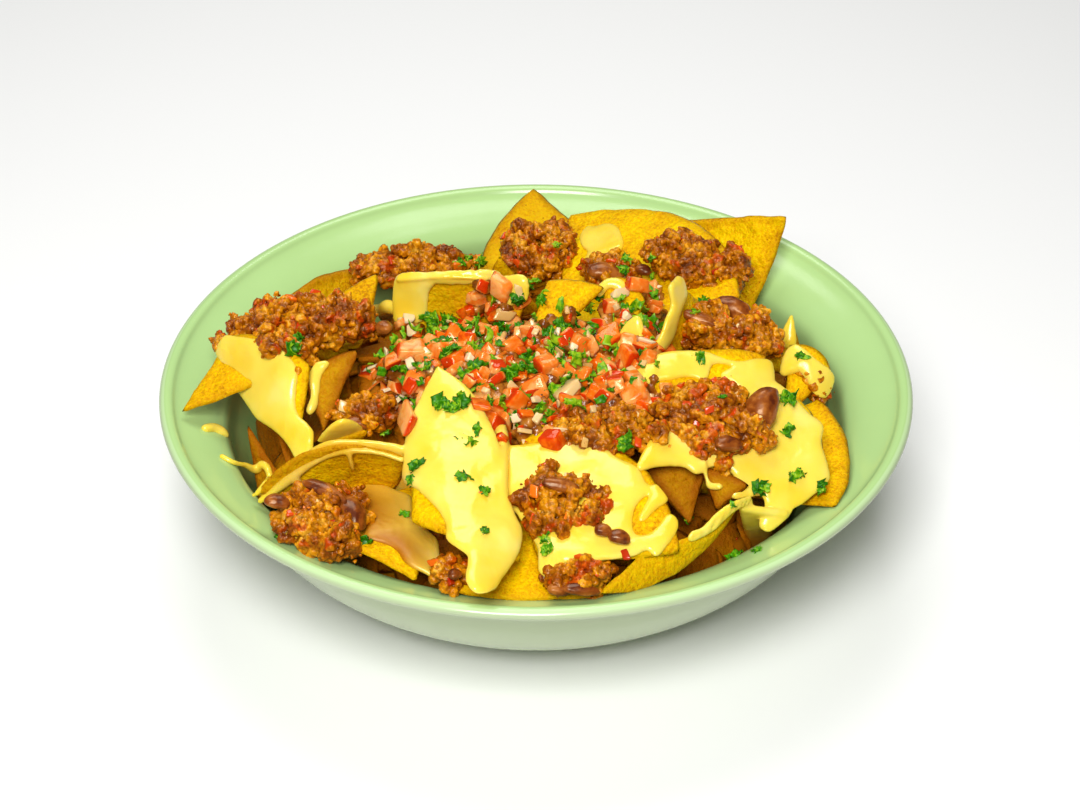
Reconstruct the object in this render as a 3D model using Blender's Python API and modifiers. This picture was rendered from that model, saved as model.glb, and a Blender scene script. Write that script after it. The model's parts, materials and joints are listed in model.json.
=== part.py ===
"""Nachos heaped in a shallow round bowl: tortilla chips, cheese sauce, chili and tomato salsa.

Heights in the tables below are measured in millimetres from the plane of the bowl's rim.
"""
import math

import bmesh
import bpy
import numpy as np
from mathutils import Euler, Vector
from mathutils.bvhtree import BVHTree

MM = 0.001
RIM_HEIGHT = 62.0
GAP = 0.45
CHIP_THICKNESS = 2.0
CHIP_STEP_LENGTH = 11.0
CHIP_STEPS = (3, 6)
SHEET_THICKNESS = 1.8
SHEET_LIFT = 0.5
BOWL_STEPS = 44
BOWL_INSIDE_POINTS = 8
WELDS = (0.01, 0.03, 0.06, 0.12)
FLAT_ANGLE = 1.0
SMOOTH_ANGLE = 40.0

# Radius and height of the bowl's section, from the middle of its floor, up the inside,
# over the rounded lip and down the outside to the foot ring.
BOWL_SECTION = (
    (0.0, -56.0), (62.0, -56.0), (82.0, -50.0), (97.0, -38.0), (105.0, -24.0),
    (107.6, -13.0), (110.5, -9.8), (124.6, -1.8), (125.8, -0.4), (127.5, 0.0),
    (129.3, -0.6), (130.0, -1.8), (129.2, -3.4), (127.0, -4.4), (116.0, -13.5),
    (110.0, -26.0), (102.0, -38.0), (88.0, -50.5), (64.0, -59.4), (60.0, -62.0),
    (56.0, -62.0), (55.0, -60.0), (0.0, -60.0),
)

# Each chip is a wedge cut from a round tortilla: its three corners, how far each side
# bulges within the wedge, and how far the middle of each side is lifted off it by the
# curl. The sides run first to second corner, second to third and third to first.
# Chips that come first keep their whole shape; later ones are trimmed where they touch.
CHIPS = {
    "chip_front": ((-31, -40, 28), (-39, -94, 6), (-4, -108, 1), (3, 3, 5), (-2, 8, 0)),
    "chip_arch_front": ((-50, -56, -16), (-92, -66, -4), (-40, -67, 12), (0, 10, 0), (0, 6, 0)),
    "chip_front_left": ((-34, -55, -6), (-84, -85, -4), (-37, -107, -7), (0, -1, 0), (0, 3, 0)),
    "chip_front_right": ((2, -108, -1), (-5, -52, 16), (46, -102, 0), (3, 14, 0), (0, 3, 2)),
    "chip_right_front": ((50, -60, 11), (91, -66, -2), (88, -30, 10), (0, 4, 0), (0, 3, 0)),
    "chip_right_wall": ((42, -38, -22), (97, -74, -3), (97, -14, -1), (0, 7, 0), (0, -2, 0)),
    "chip_front_round": ((36, -100, 3), (19, -117, -3), (67, -78, 6), (0, 9, -4), (0, -5, 0)),
    "chip_right_middle": ((55, -62, 6), (35, -28, 18), (79, -14, 16), (0, 4, 0), (0, 3, 0)),
    "chip_left_tip": ((-121, -25, -1), (-102, 22, 10), (-80, -12, 10), (0, 4, 0), (0, 2, 0)),
    "chip_left_coated": ((-80, -41, -6), (-107, 4, 12), (-76, -19, 15), (0, 4, 0), (0, 3, 0)),
    "chip_left_inner": ((-72, -30, -6), (-79, -17, 9), (-60, -11, 17), (0, 2, 0), (0, -3, 0)),
    "chip_upright": ((-41, 21, -14), (-48, 27, 22), (-9, 24, 24), (2, 2, 8), (0, 3, 0)),
    "chip_lean": ((-8, -18, 8), (4, 15, 28), (24, 13, 26), (0, 1, 0), (0, 1, 0)),
    "chip_back_round": ((8, 36, -8), (11, 111, -4), (74, 32, 8), (0, 21, 0), (0, 4, 0)),
    "chip_over_rim": ((93, 72, 20), (44, 105, -4), (70, 46, -26), (0, 4, 0), (2, 0, -3)),
    "chip_back_wall": ((-1, 123, 2), (-24, 76, -17), (32, 86, -12), (5, 4, 0), (0, 2, 0)),
    "chip_leaf": ((-57, 48, 10), (-85, 33, -5), (-61, 9, 4), (0, 4, 0), (2, 0, -2)),
    "chip_left_wall": ((-70, 45, -34), (-99, 36, -8), (-67, 80, -8), (0, 6, 0), (0, 0, 0)),
    "chip_sail": ((48, 9, 32), (40, -11, 12), (64, 20, 8), (0, 3, 0), (3, 0, 0)),
    "chip_peak_right": ((34, -5, 25), (27, -8, 12), (37, -14, 10), (0, 2, 0), (0, 0, 0)),
    "chip_right_spike": ((90, 20, 10), (80, 12, -6), (95, 8, -6), (0, 2, 0), (0, 0, 0)),
    "chip_right_fold": ((84, -22, -4), (87, 0, 11), (102, -9, 4), (0, 3, 0), (0, 4, 0)),
    "chip_front_low": ((-4, -72, 0), (-26, -113, -6), (25, -113, -6), (0, 3, 0), (0, 0, 0)),
    "chip_cave_side": ((58, -76, -3), (53, -64, 6), (69, -72, 5), (0, 1, 0), (0, 2, 0)),
    "chip_cave": ((50, -76, -9), (34, -64, 5), (56, -60, 5), (0, 1, 0), (0, 2, 0)),
    "chip_gap_tall": ((-99, -21, -7), (-85, -40, -18), (-94, -38, -30), (0, 2, 0), (0, 0, 0)),
    "chip_gap_thin": ((-89, -23, -8), (-84, -35, -16), (-72, -18, -26), (0, 2, 0), (0, 0, 0)),
    "chip_left_small": ((-60, -38, -8), (-70, -48, 3), (-55, -47, 9), (0, 2, 0), (0, 0, 0)),
    "chip_peak": ((-13, 35, 26), (-22, 40, -2), (2, 37, 0), (0, 2, 0), (0, 0, 0)),
    "chip_bit_back": ((-6, 7, 10), (-13, 17, 28), (-3, 13, 29), (0, 0, 0), (0, 0, 0)),
    "chip_arch_back": ((27, -8, 2), (23, 20, 24), (38, 14, 20), (0, 5, 0), (0, 0, 0)),
}

# Cheese sauce lying thick on a chip: the chip, and the three corners of the covered part
# as shares of the chip's own three corners.
CHEESE = {
    "cheese_front": ("chip_front", (0.94, 0.03, 0.03), (0.3, 0.66, 0.04), (0.06, 0.12, 0.82)),
    "cheese_front_right": ("chip_front_right", (0.8, 0.1, 0.1), (0.1, 0.7, 0.2), (0.12, 0.12, 0.76)),
    "cheese_right": ("chip_right_front", (0.9, 0.05, 0.05), (0.04, 0.92, 0.04), (0.04, 0.04, 0.92)),
    "cheese_right_middle": ("chip_right_middle", (0.3, 0.4, 0.3), (0.04, 0.9, 0.06), (0.04, 0.06, 0.9)),
    "cheese_left": ("chip_left_coated", (0.9, 0.05, 0.05), (0.05, 0.9, 0.05), (0.05, 0.05, 0.9)),
    "cheese_front_left": ("chip_front_left", (0.75, 0.1, 0.15), (0.42, 0.38, 0.2), (0.15, 0.1, 0.75)),
    "cheese_back": ("chip_back_round", (0.35, 0.5, 0.15), (0.04, 0.8, 0.16), (0.04, 0.5, 0.46)),
}

# Heaps: centre, half sizes and turn in degrees about x, y and z. The first ones keep
# their shape where two touch.
BEANS = {
    "bean_right": ((74.5, -47, 17), (8.0, 5.6, 5.2), (0, -40, 63)),
    "bean_back": ((68, 11, 18), (7.5, 4.6, 4.2), (0, 8, -25)),
    "bean_front_left": ((-60, -85, 3), (8.0, 5.0, 4.5), (10, 10, -50)),
}
CHILI = {
    "chili_back_left": ((-46, 71, -2), (26, 11, 8), (0, 0, 6)),
    "chili_back": ((1, 82, -1), (17, 15, 8), (18, 0, 0)),
    "chili_back_right": ((57, 54, 11), (21, 13, 8), (8, 12, -24)),
    "chili_back_middle": ((27, 58, 3), (12, 11, 8), (0, 0, 0)),
    "chili_right_back": ((65, 4, 12.5), (24, 11, 8.5), (0, 6, -14)),
    "chili_right": ((57, -49, 15), (19, 17, 8), (12, 8, -8)),
    "chili_middle": ((26, -57, 15), (25, 11, 8), (10, 4, 8)),
    "chili_right_bit": ((94, -9, 4), (6, 6, 6), (0, 0, 0)),
    "chili_left": ((-81, 9, 14), (27, 14, 9), (0, -6, 0)),
    "chili_left_lobe": ((-87, -9, 15), (9, 9, 6), (20, 0, 0)),
    "chili_left_inner": ((-56, -33, 6), (12, 9, 7), (0, 0, 0)),
    "chili_front_left": ((-70, -84, 2), (17, 12, 8), (12, 4, -24)),
    "chili_front_low": ((-26, -107, -3), (9, 7, 6), (0, 0, 0)),
    "chili_front": ((10, -86, 10), (20, 14, 6), (14, 6, -6)),
    "chili_front_wall": ((13, -111, 0), (12, 8, 6), (0, 0, 0)),
}
SALSA = {"salsa": ((-3, -14, 13), (47, 42, 19), (0, 0, 0))}

# How far each kind of heap's surface swells and dips, as a share of its size, and the
# two sets of waves that shape it, as radians across a unit ball.
CHILI_ROUGHNESS = 0.06
SALSA_ROUGHNESS = 0.04
BROAD_WAVES = (4.1, 3.7)
FINE_WAVES = (7.3, 5.9, 6.1)
FINE_SHARE = 0.6

# The hidden heap of chips under the ones that show, as a mound inside the bowl.
CORE_RADII = (0.0, 14.0, 28.0, 42.0, 55.0, 67.0, 78.0, 87.0, 94.0)
CORE_SPOKES = 24
CORE_TOP = 12.0
CORE_EDGE = -26.0
CORE_CLEARANCE = 0.7
CORE_REACH = 9.0
CORE_ABOVE_BOWL = 1.05
CORE_LEAST_DEPTH = 1.9
SAMPLE_STEP = 2.0


def point(position):
    """A position in millimetres from the rim plane, as metres above the table."""
    x, y, z = position
    return Vector((x * MM, y * MM, (z + RIM_HEIGHT) * MM))


def material(name, colour, roughness):
    """A plain material; colour is linear RGB."""
    made = bpy.data.materials.new(name)
    made.use_nodes = True
    shader = made.node_tree.nodes["Principled BSDF"]
    shader.inputs["Base Color"].default_value = (*colour, 1.0)
    shader.inputs["Roughness"].default_value = roughness
    return made


def put(name, mesh, folder, look):
    """Adds a mesh to a collection as a smoothly shaded object with one material."""
    mesh.materials.clear()
    mesh.materials.append(look)
    mesh.shade_smooth()
    mesh.set_sharp_from_angle(angle=math.radians(SMOOTH_ANGLE))
    made = bpy.data.objects.new(name, mesh)
    folder.objects.link(made)
    return made


def evaluated(thing):
    """The mesh of an object with its modifiers applied."""
    bpy.context.view_layer.update()
    depsgraph = bpy.context.evaluated_depsgraph_get()
    return bpy.data.meshes.new_from_object(thing.evaluated_get(depsgraph))


def grown(mesh, distance):
    """A copy of a mesh with every vertex moved out along its normal."""
    copy = mesh.copy()
    normals = [vertex.normal.copy() for vertex in mesh.vertices]
    for vertex, normal in zip(copy.vertices, normals):
        vertex.co += normal * distance
    return copy


def boxes_meet(first, second):
    """True if the bounding boxes of two meshes cross."""
    for axis in range(3):
        a = [vertex.co[axis] for vertex in first.vertices]
        b = [vertex.co[axis] for vertex in second.vertices]
        if min(a) > max(b) or min(b) > max(a):
            return False
    return True


def surfaces_meet(first, second):
    """True if the surfaces of two meshes cross."""
    trees = []
    for mesh in (first, second):
        shape = bmesh.new()
        shape.from_mesh(mesh)
        trees.append(BVHTree.FromBMesh(shape))
        shape.free()
    return bool(trees[0].overlap(trees[1]))


def largest_piece(mesh):
    """Keeps the island of a mesh with the greatest volume and cleans its surface."""
    shape = bmesh.new()
    shape.from_mesh(mesh)
    for weld in WELDS:
        bmesh.ops.remove_doubles(shape, verts=shape.verts, dist=weld * MM)
        bmesh.ops.dissolve_degenerate(shape, edges=shape.edges, dist=weld * MM)
        bmesh.ops.dissolve_limit(
            shape, angle_limit=math.radians(FLAT_ANGLE), verts=shape.verts, edges=shape.edges
        )
        bmesh.ops.triangulate(shape, faces=shape.faces)
        if all(edge.is_manifold for edge in shape.edges):
            break
    waiting = set(shape.faces)
    islands = []
    while waiting:
        todo = [waiting.pop()]
        island = list(todo)
        while todo:
            for edge in todo.pop().edges:
                for face in edge.link_faces:
                    if face in waiting:
                        waiting.remove(face)
                        todo.append(face)
                        island.append(face)
        islands.append(island)

    def volume(island):
        corners = [[loop.vert.co for loop in face.loops] for face in island]
        return abs(sum(a.dot(b.cross(c)) for a, b, c in corners))

    islands.sort(key=volume)
    for island in islands[:-1]:
        bmesh.ops.delete(shape, geom=island, context="FACES")
    loose = [vertex for vertex in shape.verts if not vertex.link_faces]
    bmesh.ops.delete(shape, geom=loose, context="VERTS")
    bmesh.ops.recalc_face_normals(shape, faces=shape.faces)
    if shape.calc_volume(signed=True) < 0:
        bmesh.ops.reverse_faces(shape, faces=shape.faces)
    shape.to_mesh(mesh)
    shape.free()


def trimmed(mesh, others, folder):
    """Cuts a mesh back from every other mesh that it touches, leaving a small gap."""
    target = bpy.data.objects.new("trimmed", mesh)
    folder.objects.link(target)
    for other in others:
        if not boxes_meet(target.data, other):
            continue
        cutter_mesh = grown(other, GAP * MM)
        if surfaces_meet(target.data, cutter_mesh):
            cutter = bpy.data.objects.new("cutter", cutter_mesh)
            folder.objects.link(cutter)
            cut = target.modifiers.new("cut", "BOOLEAN")
            cut.operation = "DIFFERENCE"
            cut.solver = "EXACT"
            cut.use_self = True
            cut.object = cutter
            result = evaluated(target)
            target.modifiers.remove(cut)
            bpy.data.objects.remove(cutter)
            target.data = result
            largest_piece(result)
        bpy.data.meshes.remove(cutter_mesh)
    result = target.data
    bpy.data.objects.remove(target)
    return result


def wedge_controls(corners, bulges, lifts):
    """Bezier controls of a curved wedge: its corners and its three side handles."""
    normal = (corners[1] - corners[0]).cross(corners[2] - corners[0]).normalized()
    if normal.z < 0:
        normal = -normal
    handles = []
    for side in range(3):
        a, b, c = corners[side], corners[(side + 1) % 3], corners[(side + 2) % 3]
        middle = (a + b) / 2
        along = (b - a).normalized()
        out = middle - c
        out = (out - along * out.dot(along)).normalized()
        on_side = middle + out * bulges[side] * MM + normal * lifts[side] * MM
        handles.append(on_side * 2 - middle)
    return corners, handles, normal


def wedge_steps(controls):
    """How many steps a wedge's sides are drawn in, from its longest side."""
    corners = controls[0]
    longest = max((corners[side] - corners[side - 1]).length for side in range(3))
    fewest, most = CHIP_STEPS
    return max(fewest, min(most, round(longest / (CHIP_STEP_LENGTH * MM))))


def wedge_point(controls, share):
    """The point of a curved wedge at the given shares of its three corners."""
    corners, handles, _ = controls
    u, v, w = share
    place = corners[0] * u * u + corners[1] * v * v + corners[2] * w * w
    place += handles[0] * 2 * u * v + handles[1] * 2 * v * w + handles[2] * 2 * w * u
    return place


def wedge_normal(controls, share):
    """The direction square to a curved wedge at the given shares, on its upper side."""
    corners, handles, upward = controls
    u, v, w = share
    by_u = corners[0] * u + handles[0] * v + handles[2] * w
    by_v = corners[1] * v + handles[0] * u + handles[1] * w
    by_w = corners[2] * w + handles[1] * v + handles[2] * u
    normal = (by_v - by_u).cross(by_w - by_u).normalized()
    return normal if normal.dot(upward) > 0 else -normal


def wedge_mesh(name, controls, area, lift, thickness, steps, folder):
    """A curved plate over part of a wedge, thickened evenly on both sides."""
    rows = {}
    points = []
    for i in range(steps + 1):
        for j in range(steps + 1 - i):
            weights = ((steps - i - j) / steps, i / steps, j / steps)
            share = [sum(w * corner[k] for w, corner in zip(weights, area)) for k in range(3)]
            rows[i, j] = len(points)
            points.append(wedge_point(controls, share) + wedge_normal(controls, share) * lift)
    faces = []
    for i in range(steps):
        for j in range(steps - i):
            faces.append((rows[i, j], rows[i + 1, j], rows[i, j + 1]))
            if j < steps - i - 1:
                faces.append((rows[i + 1, j], rows[i + 1, j + 1], rows[i, j + 1]))
    sheet = bpy.data.meshes.new(name)
    sheet.from_pydata(points, [], faces)
    plate = bpy.data.objects.new(name, sheet)
    folder.objects.link(plate)
    solid = plate.modifiers.new("thickness", "SOLIDIFY")
    solid.thickness = thickness
    solid.offset = 0.0
    solid.use_even_offset = True
    mesh = evaluated(plate)
    bpy.data.objects.remove(plate)
    largest_piece(mesh)
    mesh.name = name
    return mesh


def lump(name, centre, size, turn, around, down, rough):
    """A rounded heap with an uneven surface."""
    shape = bmesh.new()
    bmesh.ops.create_uvsphere(shape, u_segments=around, v_segments=down, radius=1.0)
    turned = Euler([math.radians(angle) for angle in turn]).to_matrix()
    phase = math.radians(20 * sum(centre))
    broad_x, broad_y = BROAD_WAVES
    fine_y, fine_z, fine_x = FINE_WAVES
    for vertex in shape.verts:
        x, y, z = vertex.co
        wave = math.sin(broad_x * x + phase) * math.cos(broad_y * y - phase)
        fine = math.sin(fine_y * y + fine_z * z + phase) * math.cos(fine_x * x)
        wave += FINE_SHARE * fine
        scaled = Vector((x * size[0], y * size[1], z * size[2])) * (1 + rough * wave)
        vertex.co = point(centre) + turned @ scaled * MM
    bmesh.ops.triangulate(shape, faces=shape.faces)
    bmesh.ops.recalc_face_normals(shape, faces=shape.faces)
    mesh = bpy.data.meshes.new(name)
    shape.to_mesh(mesh)
    shape.free()
    return mesh


def bowl_mesh(folder):
    """The bowl's section turned about its axis."""
    section = bpy.data.meshes.new("bowl")
    places = [point((radius, 0, height)) for radius, height in BOWL_SECTION]
    edges = [(i, i + 1) for i in range(len(places) - 1)]
    section.from_pydata(places, edges, [])
    turned = bpy.data.objects.new("bowl", section)
    folder.objects.link(turned)
    screw = turned.modifiers.new("turn", "SCREW")
    screw.axis = "Z"
    screw.steps = BOWL_STEPS
    screw.render_steps = BOWL_STEPS
    screw.use_merge_vertices = True
    screw.merge_threshold = 0.0001
    screw.use_normal_calculate = True
    mesh = evaluated(turned)
    bpy.data.objects.remove(turned)
    largest_piece(mesh)
    return mesh


def inside_height(radius):
    """Height of the bowl's inner face at a radius."""
    inner = BOWL_SECTION[:BOWL_INSIDE_POINTS]
    for (r0, z0), (r1, z1) in zip(inner, inner[1:]):
        if r0 <= radius <= r1:
            return z0 + (z1 - z0) * (radius - r0) / (r1 - r0)
    return inner[-1][1]


def surface_samples(pieces):
    """Points over the faces of several meshes, in millimetres from the rim plane."""
    samples = []
    for mesh in pieces:
        mesh.calc_loop_triangles()
        for triangle in mesh.loop_triangles:
            a, b, c = (np.array(mesh.vertices[i].co) / MM for i in triangle.vertices)
            longest = max(np.linalg.norm(b - a), np.linalg.norm(c - b), np.linalg.norm(a - c))
            steps = max(1, math.ceil(longest / SAMPLE_STEP))
            for i in range(steps + 1):
                for j in range(steps + 1 - i):
                    samples.append(a + (b - a) * i / steps + (c - a) * j / steps)
    return np.array(samples) - (0.0, 0.0, RIM_HEIGHT)


def core_mesh(pieces):
    """A mound under every piece, whose top keeps clear of whatever lies on it."""
    samples = surface_samples(pieces)

    def lowest_near(x, y):
        near = np.hypot(samples[:, 0] - x, samples[:, 1] - y) < CORE_REACH
        return samples[near, 2].min() if near.any() else CORE_TOP

    outer = CORE_RADII[-1]
    top = []
    for radius in CORE_RADII:
        for spoke in range(CORE_SPOKES if radius else 1):
            angle = math.tau * spoke / CORE_SPOKES
            x, y = radius * math.cos(angle), radius * math.sin(angle)
            dome = CORE_EDGE + (CORE_TOP - CORE_EDGE) * (1 - (radius / outer) ** 2)
            height = min(dome, lowest_near(x, y) - CORE_CLEARANCE)
            floor = inside_height(radius) + CORE_ABOVE_BOWL + CORE_LEAST_DEPTH
            top.append((x, y, max(height, floor)))
    bottom = []
    for x, y, _ in top:
        radius = math.hypot(x, y)
        bottom.append((x, y, inside_height(radius) + CORE_ABOVE_BOWL))
    count = len(top)

    def index(ring, spoke):
        return 0 if ring == 0 else 1 + (ring - 1) * CORE_SPOKES + spoke % CORE_SPOKES

    faces = []
    for ring in range(len(CORE_RADII) - 1):
        for spoke in range(CORE_SPOKES):
            a, b = index(ring, spoke), index(ring, spoke + 1)
            c, d = index(ring + 1, spoke + 1), index(ring + 1, spoke)
            loop = (0, d, c) if ring == 0 else (a, d, c, b)
            faces.append(loop)
            faces.append(tuple(count + corner for corner in reversed(loop)))
    last = len(CORE_RADII) - 1
    for spoke in range(CORE_SPOKES):
        a, b = index(last, spoke), index(last, spoke + 1)
        faces.append((a, count + a, count + b, b))
    mesh = bpy.data.meshes.new("heap_core")
    mesh.from_pydata([point(place) for place in top + bottom], [], faces)
    largest_piece(mesh)
    return mesh


for startup in list(bpy.data.objects):
    bpy.data.objects.remove(startup)
nachos = bpy.data.collections.new("nachos")
cutting = bpy.data.collections.new("cutters")
bpy.context.scene.collection.children.link(nachos)
bpy.context.scene.collection.children.link(cutting)

mint = material("mint_glaze", (0.49, 0.70, 0.34), 0.3)
corn = material("corn_chip", (0.86, 0.52, 0.02), 0.7)
sauce = material("cheese_sauce", (0.95, 0.75, 0.12), 0.3)
meat = material("chili", (0.30, 0.09, 0.02), 0.45)
bean = material("bean", (0.16, 0.04, 0.02), 0.35)
tomato = material("salsa", (0.75, 0.22, 0.12), 0.4)
hidden = material("heap", (0.35, 0.17, 0.02), 0.8)
HEAPS = (
    (BEANS, bean, 10, 6, 0.0),
    (CHILI, meat, 10, 6, CHILI_ROUGHNESS),
    (SALSA, tomato, 16, 8, SALSA_ROUGHNESS),
)

finished = {"bowl": bowl_mesh(cutting)}
looks = {"bowl": mint}
cutters = [finished["bowl"]]
whole = ((1, 0, 0), (0, 1, 0), (0, 0, 1))
controls = {}
for name, (first, second, third, bulges, lifts) in CHIPS.items():
    controls[name] = wedge_controls([point(first), point(second), point(third)], bulges, lifts)
    steps = wedge_steps(controls[name])
    made = wedge_mesh(name, controls[name], whole, 0.0, CHIP_THICKNESS * MM, steps, cutting)
    finished[name] = trimmed(made, cutters, cutting)
    cutters.append(finished[name])
    looks[name] = corn
for name, (chip, *area) in CHEESE.items():
    lift = (CHIP_THICKNESS / 2 + SHEET_LIFT + SHEET_THICKNESS / 2) * MM
    steps = wedge_steps(controls[chip])
    made = wedge_mesh(name, controls[chip], area, lift, SHEET_THICKNESS * MM, steps, cutting)
    finished[name] = trimmed(made, cutters, cutting)
    cutters.append(finished[name])
    looks[name] = sauce
for table, look, around, down, rough in HEAPS:
    for name, (centre, size, turn) in table.items():
        made = lump(name, centre, size, turn, around, down, rough)
        kept = made.copy()
        finished[name] = trimmed(made, cutters, cutting)
        cutters.append(kept)
        looks[name] = look
above = [mesh for name, mesh in finished.items() if name != "bowl"]
finished["heap_core"] = trimmed(core_mesh(above), list(finished.values()), cutting)
looks["heap_core"] = hidden

for name, mesh in finished.items():
    put(name, mesh, nachos, looks[name])
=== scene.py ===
"""Nachos heaped in a glazed bowl: fried tortilla chips with cheese sauce, chili and salsa.

Sizes are in millimetres and heights are measured from the plane of the bowl's rim, until
metres() turns them into the frame's metres above the table.
"""
import math
import bmesh
import bpy
import numpy as np
from mathutils import Euler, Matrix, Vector, noise
from mathutils.bvhtree import BVHTree
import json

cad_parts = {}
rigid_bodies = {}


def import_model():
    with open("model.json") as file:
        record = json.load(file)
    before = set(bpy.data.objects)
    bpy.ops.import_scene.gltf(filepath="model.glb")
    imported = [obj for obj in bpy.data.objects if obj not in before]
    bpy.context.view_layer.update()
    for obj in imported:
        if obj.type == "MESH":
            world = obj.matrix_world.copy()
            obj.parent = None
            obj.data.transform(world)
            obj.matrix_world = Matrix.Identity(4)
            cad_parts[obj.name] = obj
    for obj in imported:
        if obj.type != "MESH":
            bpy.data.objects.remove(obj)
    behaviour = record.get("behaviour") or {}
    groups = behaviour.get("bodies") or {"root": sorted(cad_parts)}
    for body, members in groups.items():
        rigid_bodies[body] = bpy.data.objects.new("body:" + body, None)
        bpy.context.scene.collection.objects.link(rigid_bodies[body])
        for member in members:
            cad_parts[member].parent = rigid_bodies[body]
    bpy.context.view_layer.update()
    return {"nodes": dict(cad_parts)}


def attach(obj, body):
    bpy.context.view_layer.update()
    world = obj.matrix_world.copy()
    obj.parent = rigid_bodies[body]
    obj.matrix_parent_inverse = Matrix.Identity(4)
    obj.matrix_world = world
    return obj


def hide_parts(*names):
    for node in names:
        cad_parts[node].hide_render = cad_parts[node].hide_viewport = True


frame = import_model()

# ---------------------------------------------------------------------------------------
# Bowl: a shallow coupe with a flared brim, pressed in one piece and glazed mint green.
# Its section is turned about the axis: floor, steep well, a soft crease, the flared brim
# with its rolled lip, then down the outside to a low foot ring.
RIM_HEIGHT = 62.0
BOWL_TURNS = 160
SECTION_STEPS = 7
WELL_TOP, WELL_FADE = -6.0, 24.0
INSIDE = (
    (0, -56), (30, -56), (62, -55.6), (82, -50), (97, -38), (105, -24), (107.6, -13),
    (110.5, -9.8), (117, -6), (124.2, -2.2), (125.8, -0.5), (127.6, 0),
)
OUTSIDE = (
    (129.3, -0.6), (130, -1.8), (129.3, -3.2), (127, -4.6), (121.5, -8.2), (116, -13.5),
    (110, -26), (102, -38), (88, -50.5), (74, -56.5), (64, -59.6), (61, -61.4), (59.5, -62),
    (56.4, -62), (55.4, -61.3), (55, -60), (40, -59.6), (0, -59.6),
)


def metres(places):
    """Millimetres from the rim plane as metres in the frame."""
    return (np.asarray(places, float) + (0.0, 0.0, RIM_HEIGHT)) / 1000.0


def linear(code):
    """An sRGB hex colour as linear RGBA."""
    parts = [int(code[i:i + 2], 16) / 255 for i in (0, 2, 4)]
    return (*(c / 12.92 if c < 0.04045 else ((c + 0.055) / 1.055) ** 2.4 for c in parts), 1.0)


def node(tree, kind, values=None, links=None, stops=(), **settings):
    """Adds a node, sets its properties, sockets and colour stops, and links outputs to it."""
    made = tree.nodes.new(kind)
    for key, value in settings.items():
        setattr(made, key, value)
    for key, value in (values or {}).items():
        made.inputs[key].default_value = value
    for key, source in (links or {}).items():
        tree.links.new(source, made.inputs[key])
    if stops:
        made.color_ramp.interpolation = "EASE"
        while len(made.color_ramp.elements) < len(stops):
            made.color_ramp.elements.new(0.5)
        for element, (place, code) in zip(made.color_ramp.elements, stops):
            element.position = place
            element.color = linear(code)
    return made


def new_material(name, values):
    """A material, its tree, its Principled shader with its even values, and its coordinates."""
    made = bpy.data.materials.new(name)
    made.use_nodes = True
    shader = made.node_tree.nodes["Principled BSDF"]
    for key, value in values.items():
        shader.inputs[key].default_value = value
    place = node(made.node_tree, "ShaderNodeTexCoord").outputs["Object"]
    return made, made.node_tree, shader, place


def piece(name, mesh, look, nodes=()):
    """Adds a finished mesh as one piece of the object, riding on its only body."""
    mesh.name = name
    mesh.materials.clear()
    mesh.materials.append(look)
    mesh.shade_smooth()
    made = bpy.data.objects.new(name, mesh)
    bpy.context.scene.collection.objects.link(made)
    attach(made, "root")
    if nodes:
        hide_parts(*nodes)
    return made


def as_mesh(name, shape):
    """A new mesh from a bmesh, which is freed."""
    mesh = bpy.data.meshes.new(name)
    shape.to_mesh(mesh)
    shape.free()
    return mesh


def stored(mesh, name, values):
    """Stores one value at each point of a mesh, for a material to read; gives the mesh."""
    mesh.attributes.new(name, "FLOAT", "POINT").data.foreach_set("value", values)
    return mesh


def points_of(mesh):
    """The places of a mesh's points in millimetres from the rim plane."""
    places = np.empty(len(mesh.vertices) * 3)
    mesh.vertices.foreach_get("co", places)
    return places.reshape(-1, 3) * 1000 - (0, 0, RIM_HEIGHT)


def smooth_line(points, steps):
    """A smooth line through points, by centripetal Catmull-Rom."""
    p = np.asarray(points, float)
    p = np.vstack([2 * p[0] - p[1], p, 2 * p[-1] - p[-2]])
    gaps = np.sqrt(np.linalg.norm(np.diff(p, axis=0), axis=1))
    knots = np.concatenate([[0.0], np.cumsum(gaps)])
    line = []
    for k in range(1, len(p) - 2):
        t0, t1, t2, t3 = knots[k - 1:k + 3]
        for t in np.linspace(t1, t2, steps, endpoint=False):
            a1 = p[k - 1] * (t1 - t) / (t1 - t0) + p[k] * (t - t0) / (t1 - t0)
            a2 = p[k] * (t2 - t) / (t2 - t1) + p[k + 1] * (t - t1) / (t2 - t1)
            a3 = p[k + 1] * (t3 - t) / (t3 - t2) + p[k + 2] * (t - t2) / (t3 - t2)
            b1 = a1 * (t2 - t) / (t2 - t0) + a2 * (t - t0) / (t2 - t0)
            b2 = a2 * (t3 - t) / (t3 - t1) + a3 * (t - t1) / (t3 - t1)
            line.append(b1 * (t2 - t) / (t2 - t1) + b2 * (t - t1) / (t2 - t1))
    line.append(p[-2])
    return np.array(line)


def turned(section, turns):
    """A closed mesh turned from a section that starts and ends on the axis."""
    rings = section[1:-1]
    angles = np.linspace(0, math.tau, turns, endpoint=False)
    around = np.stack([np.cos(angles), np.sin(angles)], axis=1)
    places = [(0.0, 0.0, section[0][1])]
    for radius, height in rings:
        places += [(radius * c, radius * s, height) for c, s in around]
    places.append((0.0, 0.0, section[-1][1]))
    faces = []
    for t in range(turns):
        u = (t + 1) % turns
        faces.append((0, 1 + t, 1 + u))
        for ring in range(len(rings) - 1):
            a, b = 1 + ring * turns, 1 + (ring + 1) * turns
            faces.append((a + u, a + t, b + t, b + u))
        last = 1 + (len(rings) - 1) * turns
        faces.append((last + u, last + t, len(places) - 1))
    mesh = bpy.data.meshes.new("turned")
    mesh.from_pydata(metres(places), [], faces)
    return mesh


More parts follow.
